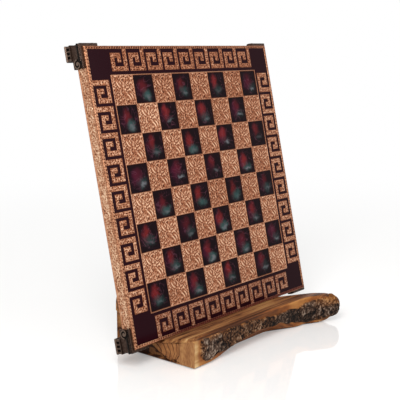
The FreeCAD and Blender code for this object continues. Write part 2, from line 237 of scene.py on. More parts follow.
def bumps(x, y, pitch, length, width, angles, seed):
    """Separate small bumps from 0 to 1, one in each square of a jittered grid of that pitch in mm.

    Each is exp(-(along / length)^2 - (across / width)^2) round its own place, turned near one of the
    angles. Of the nine nearest the highest counts."""
    random = np.random.default_rng(seed)
    shift = random.uniform(0.15, 0.85, (2, BUMP_CELLS, BUMP_CELLS))
    lean = random.choice(angles, (BUMP_CELLS, BUMP_CELLS))
    lean = lean + random.normal(0, 0.25, (BUMP_CELLS, BUMP_CELLS))
    column, row = (np.floor(np.asarray(place) / pitch).astype(int) for place in (x, y))
    best = np.zeros(np.broadcast(x, y).shape)
    for step_x, step_y in np.ndindex(3, 3):
        i, j = column + step_x - 1, row + step_y - 1
        cell = i % BUMP_CELLS, j % BUMP_CELLS
        dx, dy = x - (i + shift[0][cell]) * pitch, y - (j + shift[1][cell]) * pitch
        along, across = turned(dx, dy, lean[cell])
        best = np.maximum(best, np.exp(-(along / length) ** 2 - (across / width) ** 2))
    return best


# %% [markdown]
# A finish is a small network of shader nodes. One method adds a node of any kind: it makes the node's
# settings, fills or links its inputs and returns one of its outputs. Where a node has several sockets of
# one name, they are told apart by number: a Mix node's factor is input 0, and its colours are inputs 6
# and 7 and output 2. Colours are written as sRGB hex, the way a paint chip is read, and turned to linear
# light once.

# %% Helpers for finishes
def srgb(text):
    """A hex colour as linear red, green, blue and alpha."""
    channels = [int(text[i:i + 2], 16) / 255 for i in (1, 3, 5)]
    linear = [c / 12.92 if c <= 0.04045 else ((c + 0.055) / 1.055) ** 2.4 for c in channels]
    return (*linear, 1.0)


class Nodes:
    """A tree of shader nodes."""

    def __init__(self, tree):
        self.tree = tree

    def fill(self, socket, value):
        """Links an input to another node's output, or gives it a value."""
        if isinstance(value, bpy.types.NodeSocket):
            self.tree.links.new(value, socket)
        else:
            socket.default_value = value

    def add(self, kind, inputs=None, output=0, stops=None, **settings):
        """Adds a node and returns one of its outputs.

        Inputs, by name or number, are outputs of other nodes or plain values. Stops are a ramp's hex
        colours by their place from 0 to 1."""
        made = self.tree.nodes.new("ShaderNode" + kind)
        for name, value in settings.items():
            setattr(made, name, value)
        for name, value in (inputs or {}).items():
            self.fill(made.inputs[name], value)
        if stops:
            elements = made.color_ramp.elements
            while len(elements) < len(stops):
                elements.new(0.5)
            for element, (place, colour) in zip(elements, stops.items()):
                element.position = place
                element.color = srgb(colour)
        return made.outputs[output]


class Finish(Nodes):
    """A material whose nodes end in a Principled shader. Its place is Object coordinates in metres, which
    stay with a piece when its body moves."""

    def __init__(self, name, **sockets):
        self.material = bpy.data.materials.new(name)
        self.material.use_nodes = True
        super().__init__(self.material.node_tree)
        self.principled = self.tree.nodes["Principled BSDF"]
        self.place = self.add("TexCoord", output="Object")
        self.set(**sockets)

    def set(self, **sockets):
        """Fills the shader's sockets by name, with _ for each space."""
        for socket, value in sockets.items():
            self.fill(self.principled.inputs[socket.replace("_", " ")], value)

    def dress(self, node):
        """Gives this finish to a CAD node that keeps its shape."""
        mesh = frame["nodes"][node].data
        mesh.materials.clear()
        mesh.materials.append(self.material)


# %% [markdown]
# The sheet is thin copper, pressed in a die, darkened and then rubbed back so that only the low parts
# stay brown. What the eye reads is that difference: pale, warm peaks and brown hollows. Each point
# carries its height in the attribute tone, and a ramp turns it to colour and to roughness. A fine grain
# of about half a millimetre breaks up the highlights. Such grain is finer than this view can show, so it
# is drawn at 0.9 mm.

# %% Embossed copper
GRAIN = 0.9              # mm


def copper(name, low, middle, high):
    """Rubbed-back copper: the ramp runs from the hollows' patina to the bare peaks, and warm lays a painted
    dark red reflection over it."""
    made = Finish(name, Metallic=1.0)
    tone = made.add("Attribute", output="Fac", attribute_name="tone")
    warm = made.add("Attribute", output="Fac", attribute_name="warm")
    grain = made.add("TexNoise", {
        "Vector": made.place, "Scale": 1 / (2 * GRAIN * MM), "Detail": 2.0, "Roughness": 0.6,
    })
    drift = made.add("TexNoise", {"Vector": made.place, "Scale": 22.0, "Detail": 2.0})
    level = made.add("Math", {0: grain, 1: 0.22, 2: tone}, operation="MULTIPLY_ADD")
    level = made.add("Math", {0: drift, 1: 0.16, 2: level}, operation="MULTIPLY_ADD")
    level = made.add("MapRange", {"Value": level, "From Min": 0.19, "From Max": 1.19})
    colour = made.add("ValToRGB", {"Fac": level}, stops={0.0: low, 0.5: middle, 1.0: high})
    # warm mixes in #4E1418, a painted dark red reflection
    made.set(
        Base_Color=made.add("Mix", {0: warm, 6: colour, 7: srgb("#4E1418")}, 2, data_type="RGBA"),
        Roughness=made.add("MapRange", {"Value": level, "To Min": 0.62, "To Max": 0.36}),
        Normal=made.add("Bump", {"Strength": 0.3, "Distance": 0.3 * MM, "Height": grain}),
    )
    return made


face_copper = copper("embossed copper face", "#451A10", "#A2684A", "#FAD4B2")
edge_copper = copper("embossed copper edge", "#50261A", "#B8805F", "#F8D6B4")

# %% [markdown]
# The light squares all bear the same stamp. Its ground is pale, with short cuts that lean either way.
# Over it lie long bent strokes: raised ones in two quarters, cut ones in the other two, and a bright dot
# by the middle. A raised stroke has a darker ground round it and a cut one has a pale lip, which is what
# makes them read from afar. The stamp is worked out once, for one square.

# %% The stamp of a light square
CUT_PITCH = 2.9          # one short cut in every square of this size, mm
STAMP_DEPTH = 0.7        # peak to hollow, mm
STROKES = (              # x, y, degrees, half length, half width, bend, raised 1 or cut -1
    (-8.8, 6.2, -54, 5.6, 1.1, 0.045, 1),
    (-4.8, 8.6, -62, 3.2, 0.75, 0.05, 1),
    (4.4, -3.8, -38, 4.6, 0.9, -0.05, 1),
    (8.0, -8.6, -52, 5.6, 1.1, -0.045, 1),
    (12.4, -7.2, -60, 4.8, 1.0, -0.05, 1),
    (5.4, 10.2, 42, 3.0, 0.85, 0.03, -1),
    (10.4, 12.4, 48, 3.0, 0.85, -0.03, -1),
    (11.6, 5.8, 30, 2.6, 0.75, 0.03, -1),
    (-6.6, -9.4, 40, 3.6, 0.85, 0.05, -1),
    (-2.6, -12.8, 46, 3.2, 0.85, -0.05, -1),
    (-11.6, -12.2, 34, 2.4, 0.75, 0.03, -1),
    (2.2, 0.4, 0, 1.4, 1.4, 0.0, 1),
)


def stamp(x, y):
    """Height of the stamp from 0 to 1, at millimetres from a square's middle.

    A stroke is exp(-(along / length)^4 - ((across - bend * along^2) / width)^2)."""
    cuts = ease(bumps(x, y, CUT_PITCH, 2.0, 0.62, (0.8, 0.8, 2.35), 7), 0.1, 0.8)
    level = 0.64 - 0.64 * cuts + 0.24 * noise(x, y, 1.5, 8)
    for middle_x, middle_y, angle, length, width, bend, raised in STROKES:
        along, across = turned(x - middle_x, y - middle_y, math.radians(angle))
        across = across - bend * along ** 2
        ground = np.exp(-(along / (length + 0.6)) ** 4 - (across / (1.9 * width)) ** 2)
        stroke = np.exp(-(along / length) ** 4 - (across / width) ** 2)
        level = blend(level, 0.44 - 0.34 * raised, ground)
        level = blend(level, 0.49 + 0.50 * raised, stroke)
    return np.clip(level, 0, 1)


# %% [markdown]
# Squares and keys are islands of raised metal over outlines with right-angled corners. A grid whose lines
# pass through every corner covers such an outline exactly, so no edge looks stepped. Walls go down from
# the outline, and one flat face closes the island below.

# %% Islands of raised metal
def spread(stops, step):
    """Coordinates that pass through every stop, at most a step apart between them."""
    stops = np.unique(np.round(stops, 6))
    parts = [
        np.linspace(a, b, max(1, math.ceil((b - a) / step)), endpoint=False)
        for a, b in zip(stops, stops[1:])
    ]
    return np.concatenate(parts + [stops[-1:]])


def island(outline, step, soft, floor):
    """A raised island over an outline of right-angled corners, as a closed shell.

    Its top is a grid whose lines pass through every corner. Distance from the outline rounds the top's
    edge over the width soft. Returns the top's x, y and distance, and a function that adds the walls and
    the flat underside once the top's heights are known."""
    corners = np.array(outline, float)
    stops = np.concatenate([corners, corners + soft, corners - soft])
    kept = np.clip(stops, corners.min(axis=0), corners.max(axis=0))
    xs, ys = spread(kept[:, 0], step), spread(kept[:, 1], step)
    x, y = np.meshgrid(xs, ys)
    centre_x, centre_y = np.meshgrid((xs[:-1] + xs[1:]) / 2, (ys[:-1] + ys[1:]) / 2)
    inside = np.zeros(centre_x.shape, bool)
    distance = np.full(x.shape, 1e9)
    loop = []
    for (ax, ay), (bx, by) in zip(corners, np.roll(corners, -1, axis=0)):
        if ax == bx:
            inside ^= (centre_x < ax) & (centre_y > min(ay, by)) & (centre_y < max(ay, by))
        gap_x = np.maximum(np.maximum(min(ax, bx) - x, x - max(ax, bx)), 0)
        gap_y = np.maximum(np.maximum(min(ay, by) - y, y - max(ay, by)), 0)
        distance = np.minimum(distance, np.hypot(gap_x, gap_y))
        columns = (np.abs(xs - ax).argmin(), np.abs(xs - bx).argmin())
        rows = (np.abs(ys - ay).argmin(), np.abs(ys - by).argmin())
        steps = max(abs(columns[1] - columns[0]), abs(rows[1] - rows[0]))
        row = np.linspace(*rows, steps + 1).round().astype(int)[:-1]
        column = np.linspace(*columns, steps + 1).round().astype(int)[:-1]
        loop.append(row * len(xs) + column)
    loop = np.concatenate(loop)
    top_faces = quads(len(ys), len(xs))[inside.reshape(-1)]

    def close(height, tone):
        """Points, faces and tone of the whole shell, with the top at these heights."""
        top = np.stack([x, y, height], axis=-1).reshape(-1, 3)
        below = top[loop] * [1, 1, 0] + [0, 0, floor]
        low = len(top) + np.arange(len(loop))
        walls = np.stack([loop, low, np.roll(low, -1), np.roll(loop, -1)], axis=-1)
        points = np.concatenate([top, below])
        tones = np.concatenate([tone.reshape(-1), np.zeros(len(low))])
        used = np.zeros(len(points), bool)
        for part in (top_faces, walls):
            used[part.reshape(-1)] = True
        renumber = np.cumsum(used) - 1
        faces = [renumber[part] for part in (top_faces, walls, low[::-1])]
        return points[used], faces, tones[used]

    return x, y, distance, close


# %% [markdown]
# The playing field is made in two halves, so that neither mesh grows too large. A dark square has no
# tile: a thin line of bare metal frames it, and enamel fills it. A last line runs round all the squares.

# %% The playing field
TILE_STEP = 0.45         # grid of a tile, mm
EDGE_SOFT = 0.3          # rounding of raised metal
EDGE_DROP = 0.15         # how far the edge of raised metal lies below its top
FRAME_TONE = 0.30        # how bright the line round a dark square is rubbed
FIELD_TONE = 0.60        # how bright the line round a dark square is

half = SQUARE / 2
tile_x, tile_y, tile_edge, close_tile = island(
    [(half, half), (-half, half), (-half, -half), (half, -half)], TILE_STEP, EDGE_SOFT, SHEET_BACK,
)
pattern = stamp(tile_x, tile_y)
calm = ease(tile_edge, 0.0, 1.0)
tile_height = blend(-EDGE_DROP, -STAMP_DEPTH * (1 - pattern), calm)
tile_tone = blend(0.62, 0.06 + 0.86 * pattern, calm)
tile_points, tile_faces, tile_values = close_tile(tile_height, tile_tone)


def frame_ring(shell, middle_x, middle_y, outer, inner, tone):
    """A thin raised line round a square, as a closed ring: its section is a low round-topped wall, and
    only its top has the given tone."""
    round_off = 0.2 * (outer - inner)
    section = np.array([
        (outer, SHEET_BACK), (outer, -EDGE_DROP), (outer - round_off, 0.0),
        (inner + round_off, 0.0), (inner, -EDGE_DROP), (inner, SHEET_BACK),
    ])
    signs = np.array([(1, 1), (-1, 1), (-1, -1), (1, -1)])
    flat = signs[:, None, :] * section[None, :, :1] + [middle_x, middle_y]
    points = np.concatenate([flat, np.broadcast_to(section[None, :, 1:], (4, 6, 1))], axis=-1)
    faces = quads(5, 6, wrap=True) % 24
    shell.add(lay(points), [faces], np.tile([0.0, 0.5 * tone, tone, tone, 0.5 * tone, 0.0], 4))


# each square was rubbed by hand, so each is a little lighter or darker at random; the squares are also a little
# brighter toward the near side and toward the left
down, across = np.mgrid[0:SQUARES, 0:SQUARES] / (SQUARES - 1) - 0.5
uneven = np.random.default_rng(3).normal(0, 0.015, (SQUARES, SQUARES))
square_lightness = 0.07 * down - 0.03 * across + uneven
for half_name, rows in (("far", range(0, SQUARES // 2)), ("near", range(SQUARES // 2, SQUARES))):
    field = Shell()
    for row in rows:
        for column in range(SQUARES):
            shift = np.array([(column + 0.5) * SQUARE - HALF_FIELD, HALF_FIELD - (row + 0.5) * SQUARE, 0])
            if (row + column) % 2:
                frame_ring(field, shift[0], shift[1], half, half - GROWTH, FRAME_TONE)
            else:
                field.add(lay(tile_points + shift), tile_faces, tile_values + square_lightness[row, column])
    if half_name == "far":
        frame_ring(field, 0, 0, HALF_FIELD + GROWTH, HALF_FIELD, FIELD_TONE)
    field.make("embossed_field_" + half_name, [face_copper], "board", "face_plate")

# %% [markdown]
# The running key is one bar bent at right angles, hooked to the rim by its long upright. Its outline
# comes from the widths of its bars and the gaps between them, so the same few sizes give all thirty-six
# keys. Their tops are stippled: a die maker punches such a ground by hand to make it sparkle.

# %% The running keys
KEY_WIDTH = 27.8         # all in mm
KEY_UPRIGHT = 6.5        # width of an upright bar
KEY_LEVEL = 5.8          # width of a level bar
KEY_RIM_GAP = 4.8
KEY_FIELD_GAP = 4.9
KEY_MOUTH = 3.7          # gap between the hook and the long upright
KEY_HOOK = 11.8          # length of the hook, down from the key's top
KEY_START = 4.0          # from the field's corner to the first key
KEY_END = 5.0
KEY_STEP = 0.52          # grid of a key
KEYS = 9                 # to a side
NEAR_RED_REFLECTION = 0.7       # painted dark red reflection on the metal nearest the stand
STIPPLE_DEPTH = 0.3


def key_outline(left):
    """Corners of one key on the far side, counter-clockwise from the rim."""
    right = left + KEY_WIDTH
    low = HALF_FIELD + KEY_FIELD_GAP
    high = HALF_INNER - KEY_RIM_GAP
    hook = right - KEY_UPRIGHT - KEY_MOUTH
    return [
        (right, HALF_INNER), (right - KEY_UPRIGHT, HALF_INNER),
        (right - KEY_UPRIGHT, low + KEY_LEVEL), (left + KEY_UPRIGHT, low + KEY_LEVEL),
        (left + KEY_UPRIGHT, high - KEY_LEVEL), (hook - KEY_UPRIGHT, high - KEY_LEVEL),
        (hook - KEY_UPRIGHT, high - KEY_HOOK), (hook, high - KEY_HOOK), (hook, high),
        (left, high), (left, low), (right, low),
    ]


def stipple(x, y):
    """Punched ground from 0 to 1: round dimples 2.7 mm apart on average, and a little unevenness."""
    dimples = ease(bumps(x, y, 2.7, 0.95, 0.95, (0.0,), 11), 0.15, 0.9)
    return np.clip(0.86 - 0.86 * dimples + 0.20 * noise(x, y, 1.4, 12), 0, 1)


keys = Shell()
pitch = (2 * HALF_FIELD - KEY_START - KEY_END - KEY_WIDTH) / (KEYS - 1)
# how light the far, left, near and right keys are, and how much painted dark red reflection each side gets
for side, (side_lightness, red_reflection) in enumerate((
    (-0.17, 0.0), (-0.07, 0.0), (-0.05, 0.4 * NEAR_RED_REFLECTION), (-0.08, 0.0),
)):
    for number in range(KEYS):
        outline = key_outline(-HALF_FIELD + KEY_START + number * pitch)
        x, y, edge, close = island(outline, KEY_STEP, EDGE_SOFT, SHEET_BACK)
        # a key runs on into the rim, so its edge isn't lowered within 1 mm of it
        edge = np.where(y > HALF_INNER - 1.0, np.maximum(edge, 1.0 - (HALF_INNER - y)), edge)
        dots = stipple(x + 400 * side, y)
        calm = ease(edge, 0.0, 0.7)
        height = blend(-0.25, -STIPPLE_DEPTH * (1 - dots), calm)
        points, faces, tone = close(height, blend(0.34, side_lightness + 0.80 * dots, calm))
        keys.add(lay(quarter_turn(points, side)), faces, tone, red_reflection)
keys.make("embossed_keys", [face_copper], "board", "face_plate")

# %% [markdown]
# Four strips close the sides. Each is one section carried along its side and mitred at both ends: a rim
# with a row of small punched marks, a smooth ridge, a panel with a running scroll and a lower bead. The
# section is carried as a grid, and the ornament moves its points outward by a height that depends on the
# place along the side and round the section.

# %% The section and its ornament
STRIP_STEP = 0.7         # along the side, mm
MARK_PITCH = 4.2         # punched marks of the rim
SCROLL_PITCH = 23.0      # one wave of the panel's scroll
PANEL_TOP = -3.6         # upper end of the panel, from the face
PANEL_FOOT = -14.6


def strip_section():
    """Points of the section as (inset from the board's edge, height), closed, front first."""
    rim = [(RIM, -RELIEF), (RIM, -0.3), (RIM - 0.3, 0.0)]
    rim += [(inset, 0.0) for inset in np.linspace(RIM - 0.7, 1.1, 8)]
    turn = np.radians(np.linspace(75, 0, 4))
    rim += [(1.1 - 1.1 * math.cos(a), -1.1 + 1.1 * math.sin(a)) for a in turn]
    ridge = [(0.0, -2.2), (0.18, -2.9), (0.62, -3.3)]
    panel = [(0.62, z) for z in np.linspace(PANEL_TOP, PANEL_FOOT, 19)]
    bead = [(0.55, -14.9), (0.12, -15.4), (0.0, -16.0), (0.12, -16.6), (0.4, -BOARD_THICK)]
    inner = [(2.0, -BOARD_THICK), (2.0, -RELIEF)]
    return np.array(rim + ridge + panel + bead + inner)


def marks(along, inset):
    """Punched marks of the rim from 0 to 1: short strokes that lean across its middle."""
    across = inset - 2.5
    near = (along - 0.5 * across) / MARK_PITCH
    near = (near - np.round(near)) * MARK_PITCH
    uneven = 0.65 + 0.25 * noise(along, 0, 3.0, 21) + 0.2 * noise(along, 0, 31.0, 24)
    return uneven * np.exp(-(near / 1.35) ** 2 - (across / 1.1) ** 2)


def scroll(along, height):
    """The panel's running scroll from 0 to 1.

    A stem follows a sine wave up and down the panel. In each of its hollows sits a ring with an eye, and
    a leaf that leans with the wave."""
    tall = PANEL_TOP - PANEL_FOOT
    level = (height - (PANEL_TOP + PANEL_FOOT) / 2) / (tall / 2)
    stem = level - 0.62 * np.sin(2 * math.pi * along / SCROLL_PITCH)
    total = bell(stem, 0.17)
    for turn, side in ((0.25, -1), (0.75, 1)):
        mm_along = ((along / SCROLL_PITCH - turn + 0.5) % 1.0 - 0.5) * SCROLL_PITCH
        mm_up = (level - side * 0.42) * tall / 2
        ring = np.hypot(mm_along, mm_up)
        leaf = np.hypot((mm_along - 6.2) / 2.6 + 0.5 * side * mm_up / 1.4, mm_up / 1.4)
        for part in (bell(ring - 2.3, 0.6), bell(ring, 0.8), 0.8 * bell(leaf, 1.0)):
            total = np.maximum(total, part)
    return total


# %% [markdown]
# The grid of a strip has a row for each step along the side and a column for each point of the section.
# Lift moves points up or down and push moves them outward. Both die out at the mitres, so that two
# strips meet without a gap. Tone follows the ornament. The near rim gets a painted dark red reflection but
# for its left end, which gets a painted highlight, and each side is made a little lighter or darker.

# %% The edge strips
section = strip_section()
steps = int(2 * HALF_BOARD / STRIP_STEP)
inset, height = section[:, 0][None], section[:, 1][None]
along = np.linspace(-1, 1, steps)[:, None] * (HALF_BOARD - inset)
on_rim = (height > -0.35) & (inset > 0.9)
on_edge = (height > -2.6) & (inset < 1.3)
on_panel = (height <= PANEL_TOP) & (height >= PANEL_FOOT) & (inset < 1)
calm = ease(HALF_BOARD - inset - np.abs(along), 0.0, 1.5)
# each side is made a little lighter or darker: the left one lightest, the far one darkest
for side, (name, side_lightness) in enumerate((("near", -0.08), ("right", -0.02), ("far", -0.12), ("left", 0.09))):
    own = along + 777.0 * side
    grain = stipple(own, 3 * inset - height)
    dents = marks(own, inset)
    scrolls = scroll(own + 1.3 * noise(own, 0, 9.0, 22), height + 0.5 * noise(own, height, 4.0, 23))
    blotch = noise(own, 2 * height, 6.5, 25)
    lift = np.where(on_rim, -0.30 * dents - 0.12 * (1 - grain), 0.0)
    push = np.where(on_panel, 0.55 * scrolls * (0.8 + 0.2 * grain) + 0.07 * grain, 0.0)
    push = np.where(on_edge, -0.16 * (1 - grain), push)
    points = np.stack([along, -(HALF_BOARD - inset) - push * calm, height + lift * calm], axis=-1)
    tone = np.where(on_rim, 0.24 + side_lightness + 0.50 * grain - 1.1 * dents, 0.26 + 0.34 * grain)
    tone = np.where(on_edge, -0.04 + side_lightness + 0.56 * grain, tone)
    red_reflection = 0.0
    if name == "near":
        # painted highlight on the near rim's left end, and painted dark red reflection on the rest of it
        tone = tone + 0.16 * on_rim * (1 - ease(along, -150, -110))
        red_reflection = np.where(on_rim, NEAR_RED_REFLECTION * ease(along, -125, -95), 0.0)
    tone = np.where(on_panel, 0.06 + 0.34 * scrolls + 0.60 * grain + 0.12 * blotch, tone)
    strip = Shell()
    strip.add(lay(quarter_turn(points, side)), tube(steps, len(section), flip=True), tone, red_reflection)
    strip.make("edge_" + name, [edge_copper], "board", "edge_strip_" + name)

# %% [markdown]
# The dark parts are enamel: coloured resin poured into the low parts of the sheet and left to level, so
# its top is smooth and glossy. In the border it is plain oxblood. In the squares the maker let a little
# crimson and a little grey-green drift into it, and no two squares came out alike. One pattern serves all
# thirty-two: the flat place is cut into squares by its whole and broken parts, and each square's number
# picks its own shift and its own strength of colour. The resin is very dark, so its specular level is
# kept low. The white room would otherwise veil it.

# %% Enamel
border_enamel = Finish(
    "oxblood enamel", Base_Color=srgb("#22060E"), Roughness=0.16, Specular_IOR_Level=0.04,
)
border_enamel.dress("enamel_border")

clouded = Finish("clouded enamel", Roughness=0.16, Specular_IOR_Level=0.04)
# the flat board's own place, in metres from its middle, and from it a count of squares
flat_place = clouded.add("Mapping", {
    "Vector": clouded.place, "Location": tuple(MIDDLE), "Rotation": (math.pi / 2 - LEAN, 0, 0),
}, vector_type="TEXTURE")
cells = clouded.add("VectorMath", {"Vector": flat_place, "Scale": 1 / (SQUARE * MM)}, operation="SCALE")
cell = clouded.add("VectorMath", {0: cells}, operation="FLOOR")
inside_cell = clouded.add("VectorMath", {0: cells}, operation="FRACTION")
chance = clouded.add("TexWhiteNoise", {"Vector": cell}, "Color", noise_dimensions="3D")
drift = clouded.add("TexNoise", {"Vector": cells, "Scale": 2.8, "Detail": 4.0, "Roughness": 0.6}, "Color")
shift = clouded.add("VectorMath", {0: drift, 1: (0.5, 0.5, 0.0), 2: inside_cell}, operation="MULTIPLY_ADD")
shift = clouded.add("VectorMath", {0: chance, 1: (0.16, 0.16, 0.0), 2: shift}, operation="MULTIPLY_ADD")
# both shifts lie between 0 and their size, so half of each is taken off again
shift = clouded.add("VectorMath", {0: shift, 1: (0.33, 0.33, 0.0)}, operation="SUBTRACT")


def near_place(vector, middle, size, reach):
    """1 at a place of the square, falling smoothly to 0 at the reach; size squeezes it in x and y."""
    away = clouded.add("VectorMath", {0: vector, 1: middle}, operation="SUBTRACT")
    away = clouded.add("VectorMath", {0: away, 1: size}, operation="MULTIPLY")
    away = clouded.add("VectorMath", {0: away}, "Value", operation="LENGTH")
    return clouded.add("MapRange", {
        "Value": away, "From Min": reach, "From Max": 0.0,
    }, interpolation_type="SMOOTHERSTEP")


inner = near_place(inside_cell, (0.5, 0.5, 0.0), (1.0, 1.0, 0.0), 0.62)
inner = clouded.add("Math", {0: inner, 1: 3.0}, operation="MULTIPLY", use_clamp=True)
picks = clouded.add("SeparateColor", {"Color": chance}).node.outputs
colour = srgb("#14060B")
for middle, size, tint, pick in (
    ((0.34, 0.52, 0.0), (0.9, 0.7, 0.0), "#431026", "Blue"),
    ((0.42, 0.64, 0.0), (1.35, 0.85, 0.0), "#762222", "Red"),
    ((0.58, 0.32, 0.0), (0.95, 1.25, 0.0), "#34504E", "Green"),
    ((0.62, 0.27, 0.0), (1.5, 3.8, 0.0), "#6A6C70", "Blue"),
):
    strength = clouded.add("MapRange", {"Value": picks[pick], "To Min": 0.05, "To Max": 0.95})
    near = near_place(shift, middle, size, 0.38)
    amount = clouded.add("Math", {0: near, 1: strength}, operation="MULTIPLY")
    amount = clouded.add("Math", {0: amount, 1: inner}, operation="MULTIPLY")
    colour = clouded.add("Mix", {0: amount, 6: colour, 7: srgb(tint)}, 2, data_type="RGBA")
# thin wisps lie where another noise passes its middle value
curl = clouded.add("TexNoise", {"Vector": cells, "Scale": 1.7, "Detail": 2.0, "Distortion": 1.6})
wisp = clouded.add("Math", {0: curl, 1: 0.5}, operation="SUBTRACT")
wisp = clouded.add("Math", {0: wisp}, operation="ABSOLUTE")
wisp = clouded.add("MapRange", {"Value": wisp, "From Min": 0.02, "From Max": 0.0, "To Max": 0.28})
amount = clouded.add("Math", {0: wisp, 1: inner}, operation="MULTIPLY")
colour = clouded.add("Mix", {0: amount, 6: colour, 7: srgb("#7E4A5C")}, 2, data_type="RGBA")
clouded.set(Base_Color=colour)
clouded.dress("enamel_squares")

# %% [markdown]
# Each corner foot is one casting. Its CAD shape is already complete, so the piece is a copy of it: the
# doubles are merged, flat triangles joined, and a small bevel rounds every sharp edge as sand casting and
# handling do. The bronze was blackened and then rubbed, so the bevelled edges show lighter metal.

# %% Bronze finish
bronze = Finish("blackened bronze", Metallic=0.9, Roughness=0.5)
tone = bronze.add("Attribute", output="Fac", attribute_name="tone")
patches = bronze.add("TexNoise", {
    "Vector": bronze.place, "Scale": 1 / (2.4 * MM), "Detail": 3.0, "Roughness": 0.6,
})
level = bronze.add("Math", {0: patches, 1: 0.5, 2: tone}, operation="MULTIPLY_ADD")
patina = bronze.add("ValToRGB", {"Fac": level}, stops={0.2: "#080605", 0.68: "#3E2D25", 1.0: "#6E5C50"})
bronze.set(
    Base_Color=patina,
    Normal=bronze.add("Bump", {"Strength": 0.4, "Distance": 0.3 * MM, "Height": patches}),
)

worn_bronze = Finish("worn bronze edge", Metallic=0.95, Base_Color=srgb("#7E6E62"), Roughness=0.42)

# %% [markdown]
# The black stays in the hollows of a casting. The foot's shape comes from CAD, so the script finds its
# hollows by measuring: the floor of a flute lies nearer the shaft's middle than the ridges beside it, and
# the ground round a scroll lies nearer the board's middle than the scroll.

# %% Bronze feet
FOOT_MIDDLE = 175.1      # middle of a shaft, from the board's middle, in mm
SHAFT_HALF = 8.8
FLUTE_DEPTH = 1.5
SHOE_FACE = HALF_BOARD + 3.0
SCROLL_FACE = SHOE_FACE + 1.8
NECK_TOP = -20.0         # the shaft lies below this height
CORNERS = ("far_right", "far_left", "near_left", "near_right")


def hollow_tone(points):
    """Tone of a foot's points, given in metres in the frame: its hollows are dark."""
    flat = (points - MIDDLE) / MM
    x, y, z = np.abs(flat @ RIGHT), np.abs(flat @ UP), flat @ OUT
    from_middle = np.maximum(np.abs(x - FOOT_MIDDLE), np.abs(y - FOOT_MIDDLE))
    shaft = 0.6 * ease(from_middle, SHAFT_HALF - FLUTE_DEPTH + 0.1, SHAFT_HALF - 0.1)
    outmost = np.maximum(x, y)
    shoe = np.where(outmost > SHOE_FACE + 0.5, ease(outmost, SCROLL_FACE - 0.7, SCROLL_FACE), 0.45)
    return np.where(z < NECK_TOP, shaft, shoe)


def cast_foot(corner):
    """A copy of a CAD foot with doubles merged, flat triangles joined and worn, rounded edges."""
    node = "corner_foot_" + corner
    mesh = frame["nodes"][node].data.copy()
    mesh.name = "bronze_foot_" + corner
    work = bmesh.new()
    work.from_mesh(mesh)
    bmesh.ops.remove_doubles(work, verts=work.verts, dist=0.002 * MM)
    bmesh.ops.dissolve_limit(work, angle_limit=math.radians(1), verts=work.verts, edges=work.edges)
    work.to_mesh(mesh)
    work.free()
    places = np.empty(3 * len(mesh.vertices), np.float32)
    mesh.vertices.foreach_get("co", places)
    set_values(mesh, "tone", hollow_tone(places.reshape(-1, 3)))
    foot = hang(mesh.name, mesh, [bronze, worn_bronze], "board", node)
    bevel = foot.modifiers.new("worn edges", "BEVEL")
    bevel.width = 0.3 * MM
    bevel.segments = 2
    bevel.limit_method = "ANGLE"
    bevel.angle_limit = math.radians(35)
    bevel.material = 1
    bevel.use_clamp_overlap = True


for corner in CORNERS:
    cast_foot(corner)

# %% [markdown]
# The hidden board is a panel of wood fibre. It shows only as a narrow edge round the back, stained dark.
# The screws are plain turned brass. Both keep their CAD shape and only get a finish.

# %% Fibre panel and screws
panel_wood = Finish("stained fibre panel", Roughness=0.7)
fleck = panel_wood.add("TexNoise", {"Vector": panel_wood.place, "Scale": 1 / (1.5 * MM), "Detail": 2.0})
stain = panel_wood.add("ValToRGB", {"Fac": fleck}, stops={0.35: "#2E1C14", 0.65: "#4A3022"})
panel_wood.set(Base_Color=stain)
panel_wood.dress("core_panel")

brass = Finish("turned brass", Metallic=1.0, Base_Color=srgb("#C4A15A"), Roughness=0.32)
brass.dress("foot_screws")

# %% [markdown]
# Black felt covers the back of the board, the soles of the feet and the underside of the stand. Felt is
# pressed wool: matt, a little fuzzy, with soft cut edges. Each piece is a thin slab whose edge is rounded
# by a short profile, and sheen gives it the pale rim of fibres that real felt shows at a low angle.

# %% Felt's finish and form
felt = Finish("black wool felt", Roughness=0.95, Sheen_Weight=0.04, Sheen_Roughness=0.5)
fibre = felt.add("TexNoise", {"Vector": felt.place, "Scale": 1 / (1.2 * MM), "Detail": 3.0})
felt.set(
    Base_Color=felt.add("ValToRGB", {"Fac": fibre}, stops={0.3: "#0C0B0D", 0.7: "#1E1B1D"}),
    Normal=felt.add("Bump", {"Strength": 0.4, "Distance": 0.4 * MM, "Height": fibre}),
)


def slab(outline, low, high, soft):
    """Points of a slab over a counter-clockwise outline with rounded edges, as rows of rings.

    Each row is the outline drawn in by an amount that follows a quarter circle at the foot and at the
    top: inset = soft * (1 - cos a), height = edge +- soft * sin a."""
    turn = np.linspace(0, math.pi / 2, 4)
    inset, rise = soft * (1 - np.cos(turn)), soft * (1 - np.sin(turn))
    insets = np.concatenate([inset[::-1], inset])
    heights = np.concatenate([low + rise[::-1], high - rise])
    before, after = outline - np.roll(outline, 1, axis=0), np.roll(outline, -1, axis=0) - outline
    tangent = unit(before) + unit(after)
    inward = unit(np.stack([-tangent[:, 1], tangent[:, 0]], axis=-1))
    flat = outline[None] + insets[:, None, None] * inward[None]
    tall = np.broadcast_to(heights[:, None, None], (*flat.shape[:2], 1))
    return np.concatenate([flat, tall], axis=-1)


def felt_piece(name, points, body, node):
    """A felt made of a slab's points, in metres in the frame."""
    shell = Shell()
    shell.add(points, tube(*points.shape[:2]))
    return shell.make(name, [felt], body, node)


def round_square(middle, reach, radius):
    """Counter-clockwise outline of a square with rounded corners."""
    turn = np.linspace(0, math.pi / 2, 7)
    parts = []
    for number, (sx, sy) in enumerate(((1, 1), (-1, 1), (-1, -1), (1, -1))):
        angle = turn + number * math.pi / 2
        centre = np.array([sx, sy]) * (reach - radius)
        parts.append(centre + radius * np.stack([np.cos(angle), np.sin(angle)], axis=-1))
    return np.concatenate(parts) + middle


